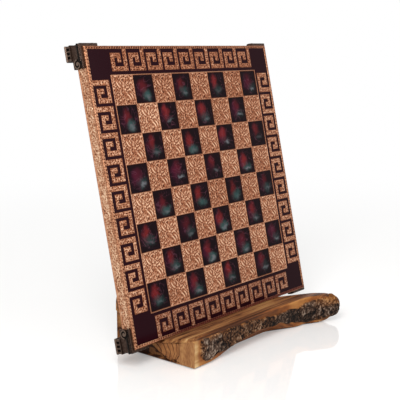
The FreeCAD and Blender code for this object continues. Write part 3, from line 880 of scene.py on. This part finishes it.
# %% The board's felts
FELT_REACH = HALF_BOARD - 32.0      # half the width of the back's felt, mm
FELT_THICK = 1.5
PAD_REACH = 8.1          # half the width of a foot's felt
PAD_THICK = 1.0
FOOT_END = -29.5         # lower end of the feet, from the face

points = slab(round_square((0, 0), FELT_REACH, 3.0), -BOARD_THICK - FELT_THICK, -BOARD_THICK, 0.4)
back_felt = felt_piece("back_felt", lay(points), "board", "base_felt")

points = slab(round_square((FOOT_MIDDLE, FOOT_MIDDLE), PAD_REACH, 1.5), FOOT_END, FOOT_END + PAD_THICK, 0.3)
for number, corner in enumerate(CORNERS):
    pad = felt_piece("foot_felt_" + corner, lay(quarter_turn(points, number)), "board", "foot_pads")

# %% [markdown]
# The stand is a piece of a split olive branch. It was sawn flat below and at the left end, and a rebate
# was sawn along it for the board. Its form is a formula that says how deep inside the wood any point
# lies. Each cut takes the larger of two depths, with the edge between them a little rounded. The branch
# keeps some of its roundness under its front: in the middle the foot lies 17 mm behind the face.

# %% The log's form
LOG = np.array([         # x, front, back, bottom, top, corner radius
    (-160.0, -64.5, 65.0, -30.0, 86.0, 26.0),
    (40.0, -64.0, 58.0, -28.0, 77.0, 26.0),
    (100.0, -70.0, 24.0, -18.0, 60.0, 26.0),
    (130.0, -93.0, -36.0, 0.0, 50.0, 20.0),
    (147.0, -96.0, -70.0, 10.0, 42.0, 12.0),
])
LOG_LEFT = -131.0
LOG_RIGHT = 146.5
NOSE = 133.0             # where the right end starts to close
UNDERSIDE = 1.5          # felt below it
UNDERCUT = 17.0          # how far the foot lies behind the front in the middle
UNDER_TILT = math.radians(43)     # slope of the undercut
GAP = 0.3                # board to the wood
SEAT_UP = -HALF_BOARD - GAP       # up-board place of the rebate's floor
REST_OUT = -BOARD_THICK - GAP     # out-of-face place of the rebate's back


def log_size(x):
    """Front, back, bottom, top and corner radius at x, straight between the listed sections."""
    return [np.interp(x, LOG[:, 0], LOG[:, column]) for column in range(1, 6)]


def on_board(y, z):
    """Up-board and out-of-face millimetres of a point in the frame."""
    dy, dz = y - MIDDLE[1] / MM, z - MIDDLE[2] / MM
    return dy * UP[1] + dz * UP[2], dy * OUT[1] + dz * OUT[2]


def off_board(up, out):
    """The y and z in the frame of an up-board and out-of-face place."""
    return MIDDLE[1] / MM + up * UP[1] + out * OUT[1], MIDDLE[2] / MM + up * UP[2] + out * OUT[2]


def soft_max(a, b, soft):
    """The larger of two depths, with the edge between them rounded over the width soft."""
    near = np.maximum(soft - np.abs(a - b), 0) / soft
    return np.maximum(a, b) + near * near * soft / 4


def body_depth(x, y, z):
    """Distance outside a rectangle with round corners, negative inside it."""
    front, back, bottom, top, radius = log_size(x)
    across = np.abs(y - (front + back) / 2) - (back - front) / 2 + radius
    tall = np.abs(z - (bottom + top) / 2) - (top - bottom) / 2 + radius
    outside = np.hypot(np.maximum(across, 0), np.maximum(tall, 0))
    return outside + np.minimum(np.maximum(across, tall), 0) - radius


def undercut(x):
    """How far the foot of the front lies behind its face. It fades out toward both ends."""
    return UNDERCUT * ease(x, -110, -20) * (1 - ease(x, 30, 92))


def log_foot(x):
    """Where the front and the back meet the saw cut below: y of the front, y of the back and z."""
    front, back, bottom, _, radius = log_size(x)
    drop = np.clip(bottom + radius - UNDERSIDE, 0, radius)
    bow = radius - np.sqrt(radius ** 2 - drop ** 2)
    return front + np.maximum(bow, undercut(x)), back - bow, np.maximum(UNDERSIDE, bottom)


def log_depth(x, y, z):
    """Distance outside the sawn log: outside the branch, below the saw cut, in the board's room or under
    the plane that rises from the foot to the front."""
    up, out = on_board(y, z)
    foot = log_size(x)[0] + undercut(x)
    under = (foot - y) * math.sin(UNDER_TILT) + (UNDERSIDE - z) * math.cos(UNDER_TILT)
    # the rebate's floor is worn down over its last 4.5 mm at the left
    wear = 3.5 * np.clip(1 - (x - LOG_LEFT) / 4.5, 0, 1)
    room = np.minimum(up + HALF_BOARD + GAP + wear, out + BOARD_THICK + GAP)
    soft = 1.6 + 14.0 * ease(x, 98, 138)
    above = soft_max(soft_max(body_depth(x, y, z), room, soft), under, 1 + 0.3 * undercut(x))
    return soft_max(above, UNDERSIDE - z, 1.0)


def halve(inside, outside, depth):
    """The place between two where the depth passes zero, by halving 30 times."""
    for _ in range(30):
        middle = (inside + outside) / 2
        within = depth(middle) < 0
        inside = np.where(within, middle, inside)
        outside = np.where(within, outside, middle)
    return (inside + outside) / 2


# %% [markdown]
# Rays find the surface of that form. They leave the middle of each cross-section, and halving the step
# again and again finds where each ray comes out. Five corners of the cross-section are worked out first:
# the front's foot, the seat's front edge, the seat's back corner, the top of the rest and the back's
# foot. The rays between two corners are spread so that one passes exactly through each corner. So the
# sawn edges stay crisp.

# %% The log's surface
COUNTS = (36, 44, 28, 56, 26)       # rays between one corner and the next

nose_x = NOSE + (LOG_RIGHT - NOSE) * np.sin(np.linspace(0, 1.45, 12))
x = np.concatenate([np.arange(LOG_LEFT, NOSE, 1.5), nose_x])
centre_y = np.interp(x, (96, 104, 110, 115, 130, 147), (18, 7, 0, -14, -60, -83))
centre_z = np.interp(x, (110, 115, 130, 147), (12, 14, 20, 26))


def seat_depth(out):
    """Distance outside the branch along the seat."""
    return body_depth(x, *off_board(SEAT_UP, out))


def rest_depth(up):
    """Distance outside the branch along the plane that the board's back rests on."""
    return body_depth(x, *off_board(up, REST_OUT))


# a place on the seat that is surely in the wood: from there the halving goes forward and back
start_out = on_board(np.minimum(centre_y, -20), np.full_like(x, 30))[1]
front_out = halve(start_out, start_out + 150, seat_depth)
rests = seat_depth(REST_OUT) < 0
back_out = np.where(rests, REST_OUT, halve(start_out, start_out - 150, seat_depth))
start_up = np.full_like(x, SEAT_UP)
rest_up = np.where(rests, halve(start_up, start_up + 120, rest_depth), SEAT_UP)
front_foot, back_foot, foot_z = log_foot(x)
corners = [
    (front_foot, foot_z), off_board(SEAT_UP, front_out), off_board(SEAT_UP, back_out),
    off_board(rest_up, REST_OUT), (back_foot, foot_z),
]
angles = [np.arctan2(z - centre_z, y - centre_y) for y, z in corners]
angles[0] = np.mod(angles[0], 2 * math.pi)
# toward the nose the rest and the back shrink to nothing, so their corners keep small angles of their own
angles[3] = np.where(rests, np.minimum(angles[3], angles[2] - 0.1), angles[2] - 0.1)
angles[4] = np.minimum(angles[4], angles[3] - 0.3)
angles.append(angles[0] - 2 * math.pi)
parts = []
for number, count in enumerate(COUNTS):
    share = 0.5 - 0.5 * np.cos(math.pi * np.linspace(0, 1, count, endpoint=False))
    parts.append(blend(angles[number][:, None], angles[number + 1][:, None], share))
angle = np.concatenate(parts, axis=1)


def along_rays(far):
    """The y and z of the places that far along the rays."""
    return centre_y[:, None] + far * np.cos(angle), centre_z[:, None] + far * np.sin(angle)


reach = halve(
    np.zeros_like(angle), np.full_like(angle, 160.0), lambda far: log_depth(x[:, None], *along_rays(far)),
)
close_in = np.sqrt(np.clip(1 - (np.maximum(x - NOSE, 0) / (LOG_RIGHT - NOSE)) ** 2, 0, 1))
reach = reach * close_in[:, None]
log_y, log_z = along_rays(reach)
log_x = np.broadcast_to(x[:, None], log_y.shape)
print("log: sections", len(x), "rays", angle.shape[1])

# %% [markdown]
# The left end was split rather than sawn in places, so it shows several planes. The front one is smooth
# and light. Behind a straight step lies a darker plane with bent growth lines, and behind a slanting step
# a hollow, painted dark as the shadow of the board's corner. The end is a fan of rings that shrink toward
# the middle, pushed in by the depth of each plane. Tone follows the same boundaries. The growth lines run
# beside the straight step and open out.

# %% The log's left end
def end_face(y, z):
    """How far each place of the left end is pushed in, its tone, its warmth and its growth lines."""
    step = -39.4 + np.maximum(12 - z, 0) * 0.7
    slant = -22 + 1.78 * z
    second = ease(y - step, -0.5, 0.5)
    hollow = ease(y - slant, -0.6, 1.4)
    last = ease(y - 27 - 2 * noise(z, y, 9, 31), 0, 3)
    inward = 2.0 * second + 5.0 * hollow - 4.0 * last
    bend = np.maximum((y - step) * (1 - 0.024 * (z - 8)), 0) + 1.2 * noise(y, z, 11, 32)
    rings = blend(0.5, 4.2 * np.log(np.maximum(1 + bend / 12, 0.1)), second)
    rings = blend(rings, 0.5, hollow)
    upright = noise(y, z * 0.12, 2.6, 33)
    first_tone = 0.55 + 0.05 * upright - 0.03 * ease(y, -60, -54) * (1 - ease(y, -52, -44))
    second_tone = 0.52 + 0.05 * upright + 0.08 * noise(y, z, 5, 37)
    # painted shadow: the board's corner shades this hollow, so its tone is dark
    board_shadow_tone = 0.08 + 0.40 * ease(noise(y * 0.6, z * 1.6, 6, 34), 0.1, 0.5)
    last_tone = 0.58 - 0.12 * (1 - ease(z, 28, 33))
    tone = blend(first_tone, second_tone, second)
    tone = blend(blend(tone, board_shadow_tone, hollow), last_tone, last)
    warm = 0.3 * second * (1 - hollow)
    line = bell(y - step, 1.0) + bell(y - slant, 1.0) + last * bell(z - 31 + 0.1 * y, 1.0)
    return inward, np.clip(tone - 0.6 * line, 0.02, 1), warm, rings


shrink = np.linspace(1, 0.015, 120)[:, None]
end_y = centre_y[0] + shrink * reach[0][None] * np.cos(angle[0])[None]
end_z = centre_z[0] + shrink * reach[0][None] * np.sin(angle[0])[None]
inward, end_tone, end_warm, end_rings = end_face(end_y, end_z)
end_x = LOG_LEFT + inward * ease(1 - shrink, 0.0, 0.01)
print("left end pushed in by up to", round(float(inward.max()), 1), "mm")

# %% [markdown]
# The rest of the log gets its tone from where it lies. The front, under the bark, is lighter and stained
# orange. A dark line runs under the seat's edge at the left, and at the right that edge catches light.
# Growth rings lie round the trunk's heart, above and behind the seat, and waver along the branch.

# %% The log's tone and rings
up_here = on_board(log_y, log_z)[0]
on_seat = bell(up_here - SEAT_UP, 0.8)
behind = log_y - log_size(x)[0][:, None] - undercut(log_x) * (1 - ease(log_z, 12, 20))
on_front = 1 - ease(behind, 1.5, 6.0)
below_edge = SEAT_UP - up_here
streak = noise(log_x * 0.05, log_y, 3.0, 35) + 0.6 * noise(log_x * 0.08, log_y, 1.3, 36)
to_right = ease(log_x, 60, 125)
seat_right = ease(log_x, -10, 50)
# painted light: the log grows lighter toward its left end, nearer the lamp at the left; it is darker toward the
# nose
log_tone = 0.44 + 0.10 * streak - 0.07 * to_right + 0.09 * (1 - ease(log_x, -115, 10))
log_tone = log_tone + on_front * (0.16 - 0.16 * ease(log_x, -128, -122) + 0.16 * ease(log_x, -60, 10))
log_tone = log_tone - 0.30 * bell(below_edge - 1.4, 0.9) * on_front * (1 - seat_right)
log_tone = log_tone + 0.20 * bell(below_edge - 0.6, 1.4) * on_front * seat_right
log_tone = log_tone - 0.04 * (1 - on_seat) * (1 - on_front) * ease(log_y, 10, 30)
log_warm = np.maximum(on_front * ease(log_x, -126, -120), 0.12 + 0.36 * to_right)

from_heart = np.hypot(log_y - 20, log_z - 110) + 5 * noise(log_x * 0.12, log_y * 0.4, 8.0, 38)
from_heart = from_heart + 1.4 * noise(log_x * 0.2, log_y, 3.0, 39)
log_rings = np.where(on_front > 0.3, 0.5, from_heart / 6.0)

branch = Shell()
wall, _, lid = tube(*log_y.shape)
branch.add(np.stack([log_x, log_y, log_z], axis=-1) * MM, [wall, lid], log_tone, log_warm, log_rings)
wall, _, lid = tube(*end_y.shape, flip=True)
branch.add(np.stack([end_x, end_y, end_z], axis=-1) * MM, [wall, lid],
           end_tone, 0.1 + end_warm, end_rings, number=1)

# %% [markdown]
# Olive wood is yellow-brown with darker, wandering bands along the grain. The bands are noise that is
# stretched along the branch: about 11 mm across it and 200 mm long. Pores are finer and shorter. Thin
# dark growth lines lie where the count in the attribute rings passes a whole number. The oiled surface
# is satin. Under the bark the wood is stained orange, and the attribute warm says where. The split end
# shows almost no bands, so it gets its own finish from the same function.

# %% Olive wood
PORE_SHARE = 0.14        # how much the pores change the tone


def olive_wood(name, banding, line_depth, line_width):
    """Oiled olive wood. Banding is how much its bands change it; lines have a depth and half a width."""
    made = Finish(name, Roughness=0.55, Specular_IOR_Level=0.18)

    def wood_noise(scale, detail, distortion=0.0):
        """Noise along the grain, its middle values drawn out to 0..1."""
        stretched = made.add("Mapping", {"Vector": made.place, "Scale": scale})
        grain = made.add("TexNoise", {
            "Vector": stretched, "Scale": 1.0, "Detail": detail, "Distortion": distortion,
        })
        return made.add("MapRange", {"Value": grain, "From Min": 0.36, "From Max": 0.64})

    tone = made.add("Attribute", output="Fac", attribute_name="tone")
    warm = made.add("Attribute", output="Fac", attribute_name="warm")
    rings = made.add("Attribute", output="Fac", attribute_name="rings")
    bands = wood_noise((5.0, 90.0, 40.0), 4.0, 0.5)
    pores = wood_noise((40.0, 800.0, 200.0), 2.0)
    count = made.add("Math", {0: rings, 1: 0.5}, operation="PINGPONG")
    line = made.add("MapRange", {
        "Value": count, "From Min": line_width, "From Max": 0.0, "To Max": line_depth,
    })
    level = made.add("Math", {0: bands, 1: banding, 2: tone}, operation="MULTIPLY_ADD")
    level = made.add("Math", {0: pores, 1: PORE_SHARE, 2: level}, operation="MULTIPLY_ADD")
    level = made.add("Math", {0: level, 1: line}, operation="SUBTRACT")
    # bands and pores add half their share on average, so the range moves up by as much
    middle = (banding + PORE_SHARE) / 2
    level = made.add("MapRange", {"Value": level, "From Min": middle, "From Max": middle + 1})
    plain = made.add("ValToRGB", {"Fac": level}, stops={
        0.0: "#170D08", 0.22: "#55321F", 0.48: "#8E5F3A", 0.72: "#BA8C58", 1.0: "#E0C290",
    })
    stained = made.add("ValToRGB", {"Fac": level}, stops={0.2: "#452410", 0.5: "#8A4F24", 0.9: "#B97F44"})
    made.set(
        Base_Color=made.add("Mix", {0: warm, 6: plain, 7: stained}, 2, data_type="RGBA"),
        Normal=made.add("Bump", {"Strength": 0.2, "Distance": 0.3 * MM, "Height": pores}),
    )
    return made


long_grain = olive_wood("oiled olive wood", 0.50, 0.24, 0.15)
end_grain = olive_wood("split end of olive wood", 0.06, 0.40, 0.14)
branch.make("olive_branch", [long_grain, end_grain], "stand", "stand_log", sharp=40)

# %% [markdown]
# Bark was left on the front and round the right end. It is a closed skin: its outer face follows a curve
# in plan and bulges between two wavy borders, and its inner face lies inside the wood.

# %% Bark's path and borders
BARK_PATH = np.array([   # plan of the outer face: x, y
    (-123.5, -66.4), (-60.0, -66.9), (0.0, -66.8), (50.0, -67.4), (85.0, -69.8), (100.0, -74.0),
    (115.0, -84.5), (128.0, -94.2), (138.0, -98.2), (146.0, -97.2), (150.6, -90.5), (150.4, -81.0),
    (146.5, -71.0), (140.5, -60.0), (132.0, -46.0),
])
BARK_STEPS = 560         # points along the path
BARK_ROWS = 46           # points from the lower border to the upper one
SMOOTHING = 15           # half the width of the running mean, in points of the path
SEAT_EDGE = (-15.5, 27.0)         # y and z where the board's face meets the seat

lengths = np.concatenate([[0], np.cumsum(np.hypot(*np.diff(BARK_PATH, axis=0).T))])
run = np.linspace(0, lengths[-1], BARK_STEPS)
plan = np.stack([np.interp(run, lengths, BARK_PATH[:, k]) for k in (0, 1)], axis=-1)
# a running mean takes the corners off the path, which is carried on past both ends for it
kernel = np.hanning(2 * SMOOTHING + 1)
kernel /= kernel.sum()
before, after = plan[SMOOTHING:0:-1], plan[-2:-SMOOTHING - 2:-1]
padded = np.concatenate([2 * plan[:1] - before, plan, 2 * plan[-1:] - after])
plan = np.stack([np.convolve(padded[:, k], kernel, "valid") for k in (0, 1)], axis=-1)
tangent = unit(np.gradient(plan, axis=0))
outward = np.stack([tangent[:, 1], -tangent[:, 0]], axis=-1)
plan_x, plan_y = plan.T

nose = ease(plan_x, 100, 132)
on_nose = nose[:, None]
past_bare = ease(plan_x, 85, 118)
bare = ease(plan_x, -30, 15) * (1 - past_bare)
seat_z = SEAT_EDGE[1] + (SEAT_EDGE[0] - plan_y) * math.tan(LEAN)
upper = seat_z - (1.8 + 5.6 * bare + 2.8 * past_bare) + 0.4 * nose
upper = upper + (0.8 - 0.5 * nose) * noise(run, 0, 5, 42)
upper = upper + (0.8 + 1.4 * bare - 0.5 * nose) * noise(run, 0, 17, 41)
lower = 4.0 + 3.0 * nose + 0.62 * undercut(plan_x) + 8.0 * (1 - ease(run, 0, 14))
lower = lower + 1.6 * noise(run, 0, 13, 43) + 0.6 * noise(run, 0, 4, 44)
# the tip points right and forward, and both borders draw in toward it like a fingertip
tip = np.clip((0.64 * plan_x - 0.77 * plan_y - 151) / 19, 0, 0.97)
drawn_in = 9 * (1 - np.sqrt(1 - tip ** 2))
upper, lower = upper - drawn_in, lower + 0.5 * drawn_in
print("bark: length", round(float(run[-1])), "mm, tallest", round(float(np.max(upper - lower))), "mm")

# %% [markdown]
# Old olive bark is broken into plates and ridges that lean with the twist of the trunk. Plates come from
# bumps 8 mm apart, ridges from bumps 4 mm apart, crumbs from noise of about 2 mm, and cracks lie where
# another noise passes zero. Plates, ridges and cracks are bent by one more noise, so that none runs
# straight. Bark on the nose is smoother. At its borders the skin turns in to the wood.

# %% Bark's relief
v = np.linspace(0, 1, BARK_ROWS)[None]
tall = lower[:, None] + (upper - lower)[:, None] * v
bulge = -(2.0 + 4.5 * on_nose) * np.abs(2 * v - 1) ** (6 - 3.2 * on_nose)
s, t = run[:, None] + 0 * v, tall
lumps = noise(s, t, 8.0, 45)
bent_s, bent_t = s + 2.0 * noise(s, t, 5.0, 52), t + 2.2 * noise(s, t, 6.0, 53)
plates = bumps(bent_s, bent_t, 8.4, 6.0, 2.8, (0.6, 1.2, 2.3), 46)
ridges = bumps(bent_s, bent_t, 4.0, 3.2, 1.0, (0.7, 1.1, 2.3), 54)
crumbs = noise(s, t, 1.7, 47)
cracks = bell(noise(bent_s * 0.7, bent_t * 1.3, 6.5, 48), 0.12) * ease(noise(s, t, 22, 49), -0.5, 0.1)
smooth = ease(v, 0.50, 0.75) * on_nose
rough = (0.9 - 0.5 * on_nose) * lumps + 1.0 * plates + 0.7 * ridges + 0.4 * crumbs - 1.5 * cracks - 0.7
rough = rough * (1 - 0.35 * on_nose) * (1 - 0.7 * smooth)
side_calm = ease(np.minimum(v, 1 - v) * (upper - lower)[:, None], 0.0, 2.6)
end_calm = ease(np.minimum(run, run[-1] - run), 0.0, 6.0)[:, None]
swell = (rough + 0.6) * side_calm * end_calm * 0.8
tuck = -2.6 * (1 - side_calm * end_calm)
offset = np.minimum(bulge + swell + tuck - 0.6, 1.6)


def bark_face(offset):
    """Points of a face of the bark that lies this far outside the path."""
    flat = plan[:, None, :] + offset[..., None] * outward[:, None, :]
    return np.concatenate([flat, tall[..., None]], axis=-1)


inner = bark_face(np.minimum(-6.0 + 0.6 * bulge, offset - 1.0))[:, ::5][:, ::-1]
ring = np.concatenate([bark_face(offset), inner], axis=1)

# %% [markdown]
# Tone runs from the dark hollows to the pale grey ridges. The grey is partly weathering of the ridges and
# partly painted highlight, and the dark of the cracks and hollows is painted shade. Warm says where fresh,
# rusty bark shows: along every border and in patches where flakes came off.

# %% Bark's tone
# painted shade in cracks and hollows and painted highlight on plates and ridges, over the bark's own tone
bark_tone = 0.01 + 0.14 * lumps + 0.28 * plates + 0.40 * ridges + 0.28 * crumbs - 0.5 * cracks
bark_tone = bark_tone + 0.1 * smooth
bark_tone = bark_tone + 0.12 * noise(s, t, 24, 57) + 0.14 * (1 - ease(s, 25, 60))
border = np.maximum(1 - side_calm, 1 - end_calm)
patchy = ease(noise(s, t, 12, 50) + 0.5 * noise(s, t, 4, 51), -0.1, 0.5)
bark_warm = border + 0.75 * smooth + 0.5 * patchy * (1 - ease(v, 0.0, 0.4))
bark_warm = bark_warm + 0.28 * ease(noise(s, t, 26, 55) + 0.3 * noise(s, t, 5, 56), 0.1, 0.5)
bark_warm = np.clip(bark_warm + 0.5 * patchy * ease(v, 0.7, 1.0), 0, 1)
hidden = inner.shape[:2]
tone = np.concatenate([bark_tone, np.full(hidden, 0.2)], axis=1)
warm = np.concatenate([bark_warm, np.ones(hidden)], axis=1)
skin = Shell()
skin.add(ring * MM, tube(*ring.shape[:2]), tone, warm)

# %% Bark's finish
bark = Finish("olive bark", Roughness=0.85, Specular_IOR_Level=0.2)
from_hollow = bark.add("Attribute", output="Fac", attribute_name="tone")
fresh = bark.add("Attribute", output="Fac", attribute_name="warm")
crumb = bark.add("TexNoise", {
    "Vector": bark.place, "Scale": 1 / (2.2 * MM), "Detail": 4.0, "Roughness": 0.7,
})
level = bark.add("Math", {0: crumb, 1: 0.5, 2: from_hollow}, operation="MULTIPLY_ADD")
level = bark.add("MapRange", {"Value": level, "From Min": 0.25, "From Max": 1.25})
grey = bark.add("ValToRGB", {"Fac": level}, stops={
    0.0: "#0A0604", 0.3: "#2E1F16", 0.55: "#5A4538", 1.0: "#AE9A88",
})
rust = bark.add("ValToRGB", {"Fac": level}, stops={0.05: "#2A150B", 0.4: "#784822", 0.85: "#AC7842"})
bark.set(
    Base_Color=bark.add("Mix", {0: fresh, 6: grey, 7: rust}, 2, data_type="RGBA"),
    Normal=bark.add("Bump", {"Strength": 0.6, "Distance": 0.8 * MM, "Height": crumb}),
)
skin.make("olive_bark", [bark], "stand", "stand_bark")

# %% [markdown]
# The log stands on one felt, cut to the outline of its sawn underside less a few millimetres, so that it
# shows only as a dark line. Its width and depth are worked out from its outline.

# %% The stand's felt
SOLE_INSET = 3.2         # mm

sole_x = np.linspace(LOG_LEFT + 3, 122, 90)
front_foot, back_foot, _ = log_foot(sole_x)
sole_front = np.stack([sole_x, front_foot + SOLE_INSET], axis=-1)
sole_back = np.stack([sole_x, back_foot - SOLE_INSET], axis=-1)[::-1]
outline = np.concatenate([sole_front, sole_back])
sole = felt_piece("stand_sole", slab(outline, 0.0, UNDERSIDE, 0.35) * MM, "stand", "stand_felt")
size = np.ptp(outline, axis=0) * MM

# %% [markdown]
# The camera stands where the photograph was taken: to the board's left, about as high as its top edge,
# and looking a little down. Its place, its directions and its lens come from a fit to the corners of the
# squares in the photograph.

# %% Camera
EYE = (-0.90359, -0.71258, 0.37875)         # metres
LOOK = Vector((0.758843, 0.628581, -0.170419))
RIGHT_OF_VIEW = Vector((0.637913, -0.770109, 0.0))

camera_data = bpy.data.cameras.new("camera")
camera_data.lens = 80.48
camera_data.sensor_width = 36.0
camera = new_object("camera", camera_data)
facing = Matrix((RIGHT_OF_VIEW, RIGHT_OF_VIEW.cross(LOOK), -LOOK)).transposed().to_4x4()
camera.matrix_world = Matrix.Translation(EYE) @ facing
bpy.context.scene.camera = camera

# %% [markdown]
# The floor is a glossy pale plane. To the camera it glows a little, and far from the object it fades into
# the white of the world, so that no horizon shows.

# %% Floor
FLOOR_REACH = 12.0       # metres to each side
WHITE = (1, 1, 1, 1)

pale = Finish("pale floor", Base_Color=srgb("#F2F1EF"), Roughness=0.04, Specular_IOR_Level=0.8)
away = pale.add("VectorMath", {0: pale.place}, "Value", operation="LENGTH")
fade = pale.add("MapRange", {
    "Value": away, "From Min": 0.45, "From Max": 1.6,
}, interpolation_type="SMOOTHSTEP")
rays = pale.add("LightPath").node.outputs
seen = pale.add("Math", {0: rays["Is Camera Ray"], 1: rays["Is Glossy Ray"]}, operation="MAXIMUM")
share = pale.add("Math", {0: fade, 1: seen}, operation="MULTIPLY")
white = pale.add("Emission", {"Color": WHITE, "Strength": 1.0})
lift = pale.add("Math", {0: rays["Is Camera Ray"], 1: 0.24}, operation="MULTIPLY")
glow = pale.add("Emission", {"Color": WHITE, "Strength": lift})
near = pale.add("AddShader", {0: pale.principled.outputs["BSDF"], 1: glow})
whole = pale.add("MixShader", {0: share, 1: near, 2: white})
pale.fill(pale.tree.nodes["Material Output"].inputs["Surface"], whole)

floor_mesh = bpy.data.meshes.new("floor")
square = np.array([(-1, -1, 0), (1, -1, 0), (1, 1, 0), (-1, 1, 0)]) * FLOOR_REACH
floor_mesh.from_pydata(square, [], [(0, 1, 2, 3)])
floor_mesh.materials.append(pale.material)
floor = new_object("floor", floor_mesh)

# %% [markdown]
# The world is plain white where the camera sees it, directly or in a gloss, and dimmer where it only
# lights the scene. Two large soft lamps stand at the left and at the right, both in front.

# %% World and lamps
AIM = Vector((0.0, 0.0, 0.18))      # the middle of the object, metres

world = bpy.data.worlds.new("studio")
bpy.context.scene.world = world
world.use_nodes = True
sky = Nodes(world.node_tree)
rays = sky.add("LightPath").node.outputs
seen = sky.add("Math", {0: rays["Is Camera Ray"], 1: rays["Is Transmission Ray"]}, operation="MAXIMUM")
seen = sky.add("Math", {0: seen, 1: rays["Is Glossy Ray"]}, operation="MAXIMUM")
strength = sky.add("MapRange", {"Value": seen, "To Min": 0.45})
background = sky.tree.nodes["Background"]
sky.fill(background.inputs["Strength"], strength)
sky.fill(background.inputs["Color"], WHITE)


def lamp(name, where, size, watts):
    """A square soft white lamp that looks at the aim; its place and size are in metres."""
    data = bpy.data.lights.new(name, "AREA")
    data.size = size
    data.energy = watts
    made = new_object(name, data)
    made.location = where
    made.rotation_euler = (AIM - Vector(where)).to_track_quat("-Z", "Y").to_euler()


lamp("key", (-1.0, -0.55, 0.95), 0.7, 15)
lamp("fill", (0.9, -1.9, 1.0), 1.4, 8)

bpy.context.scene.view_settings.view_transform = "Standard"
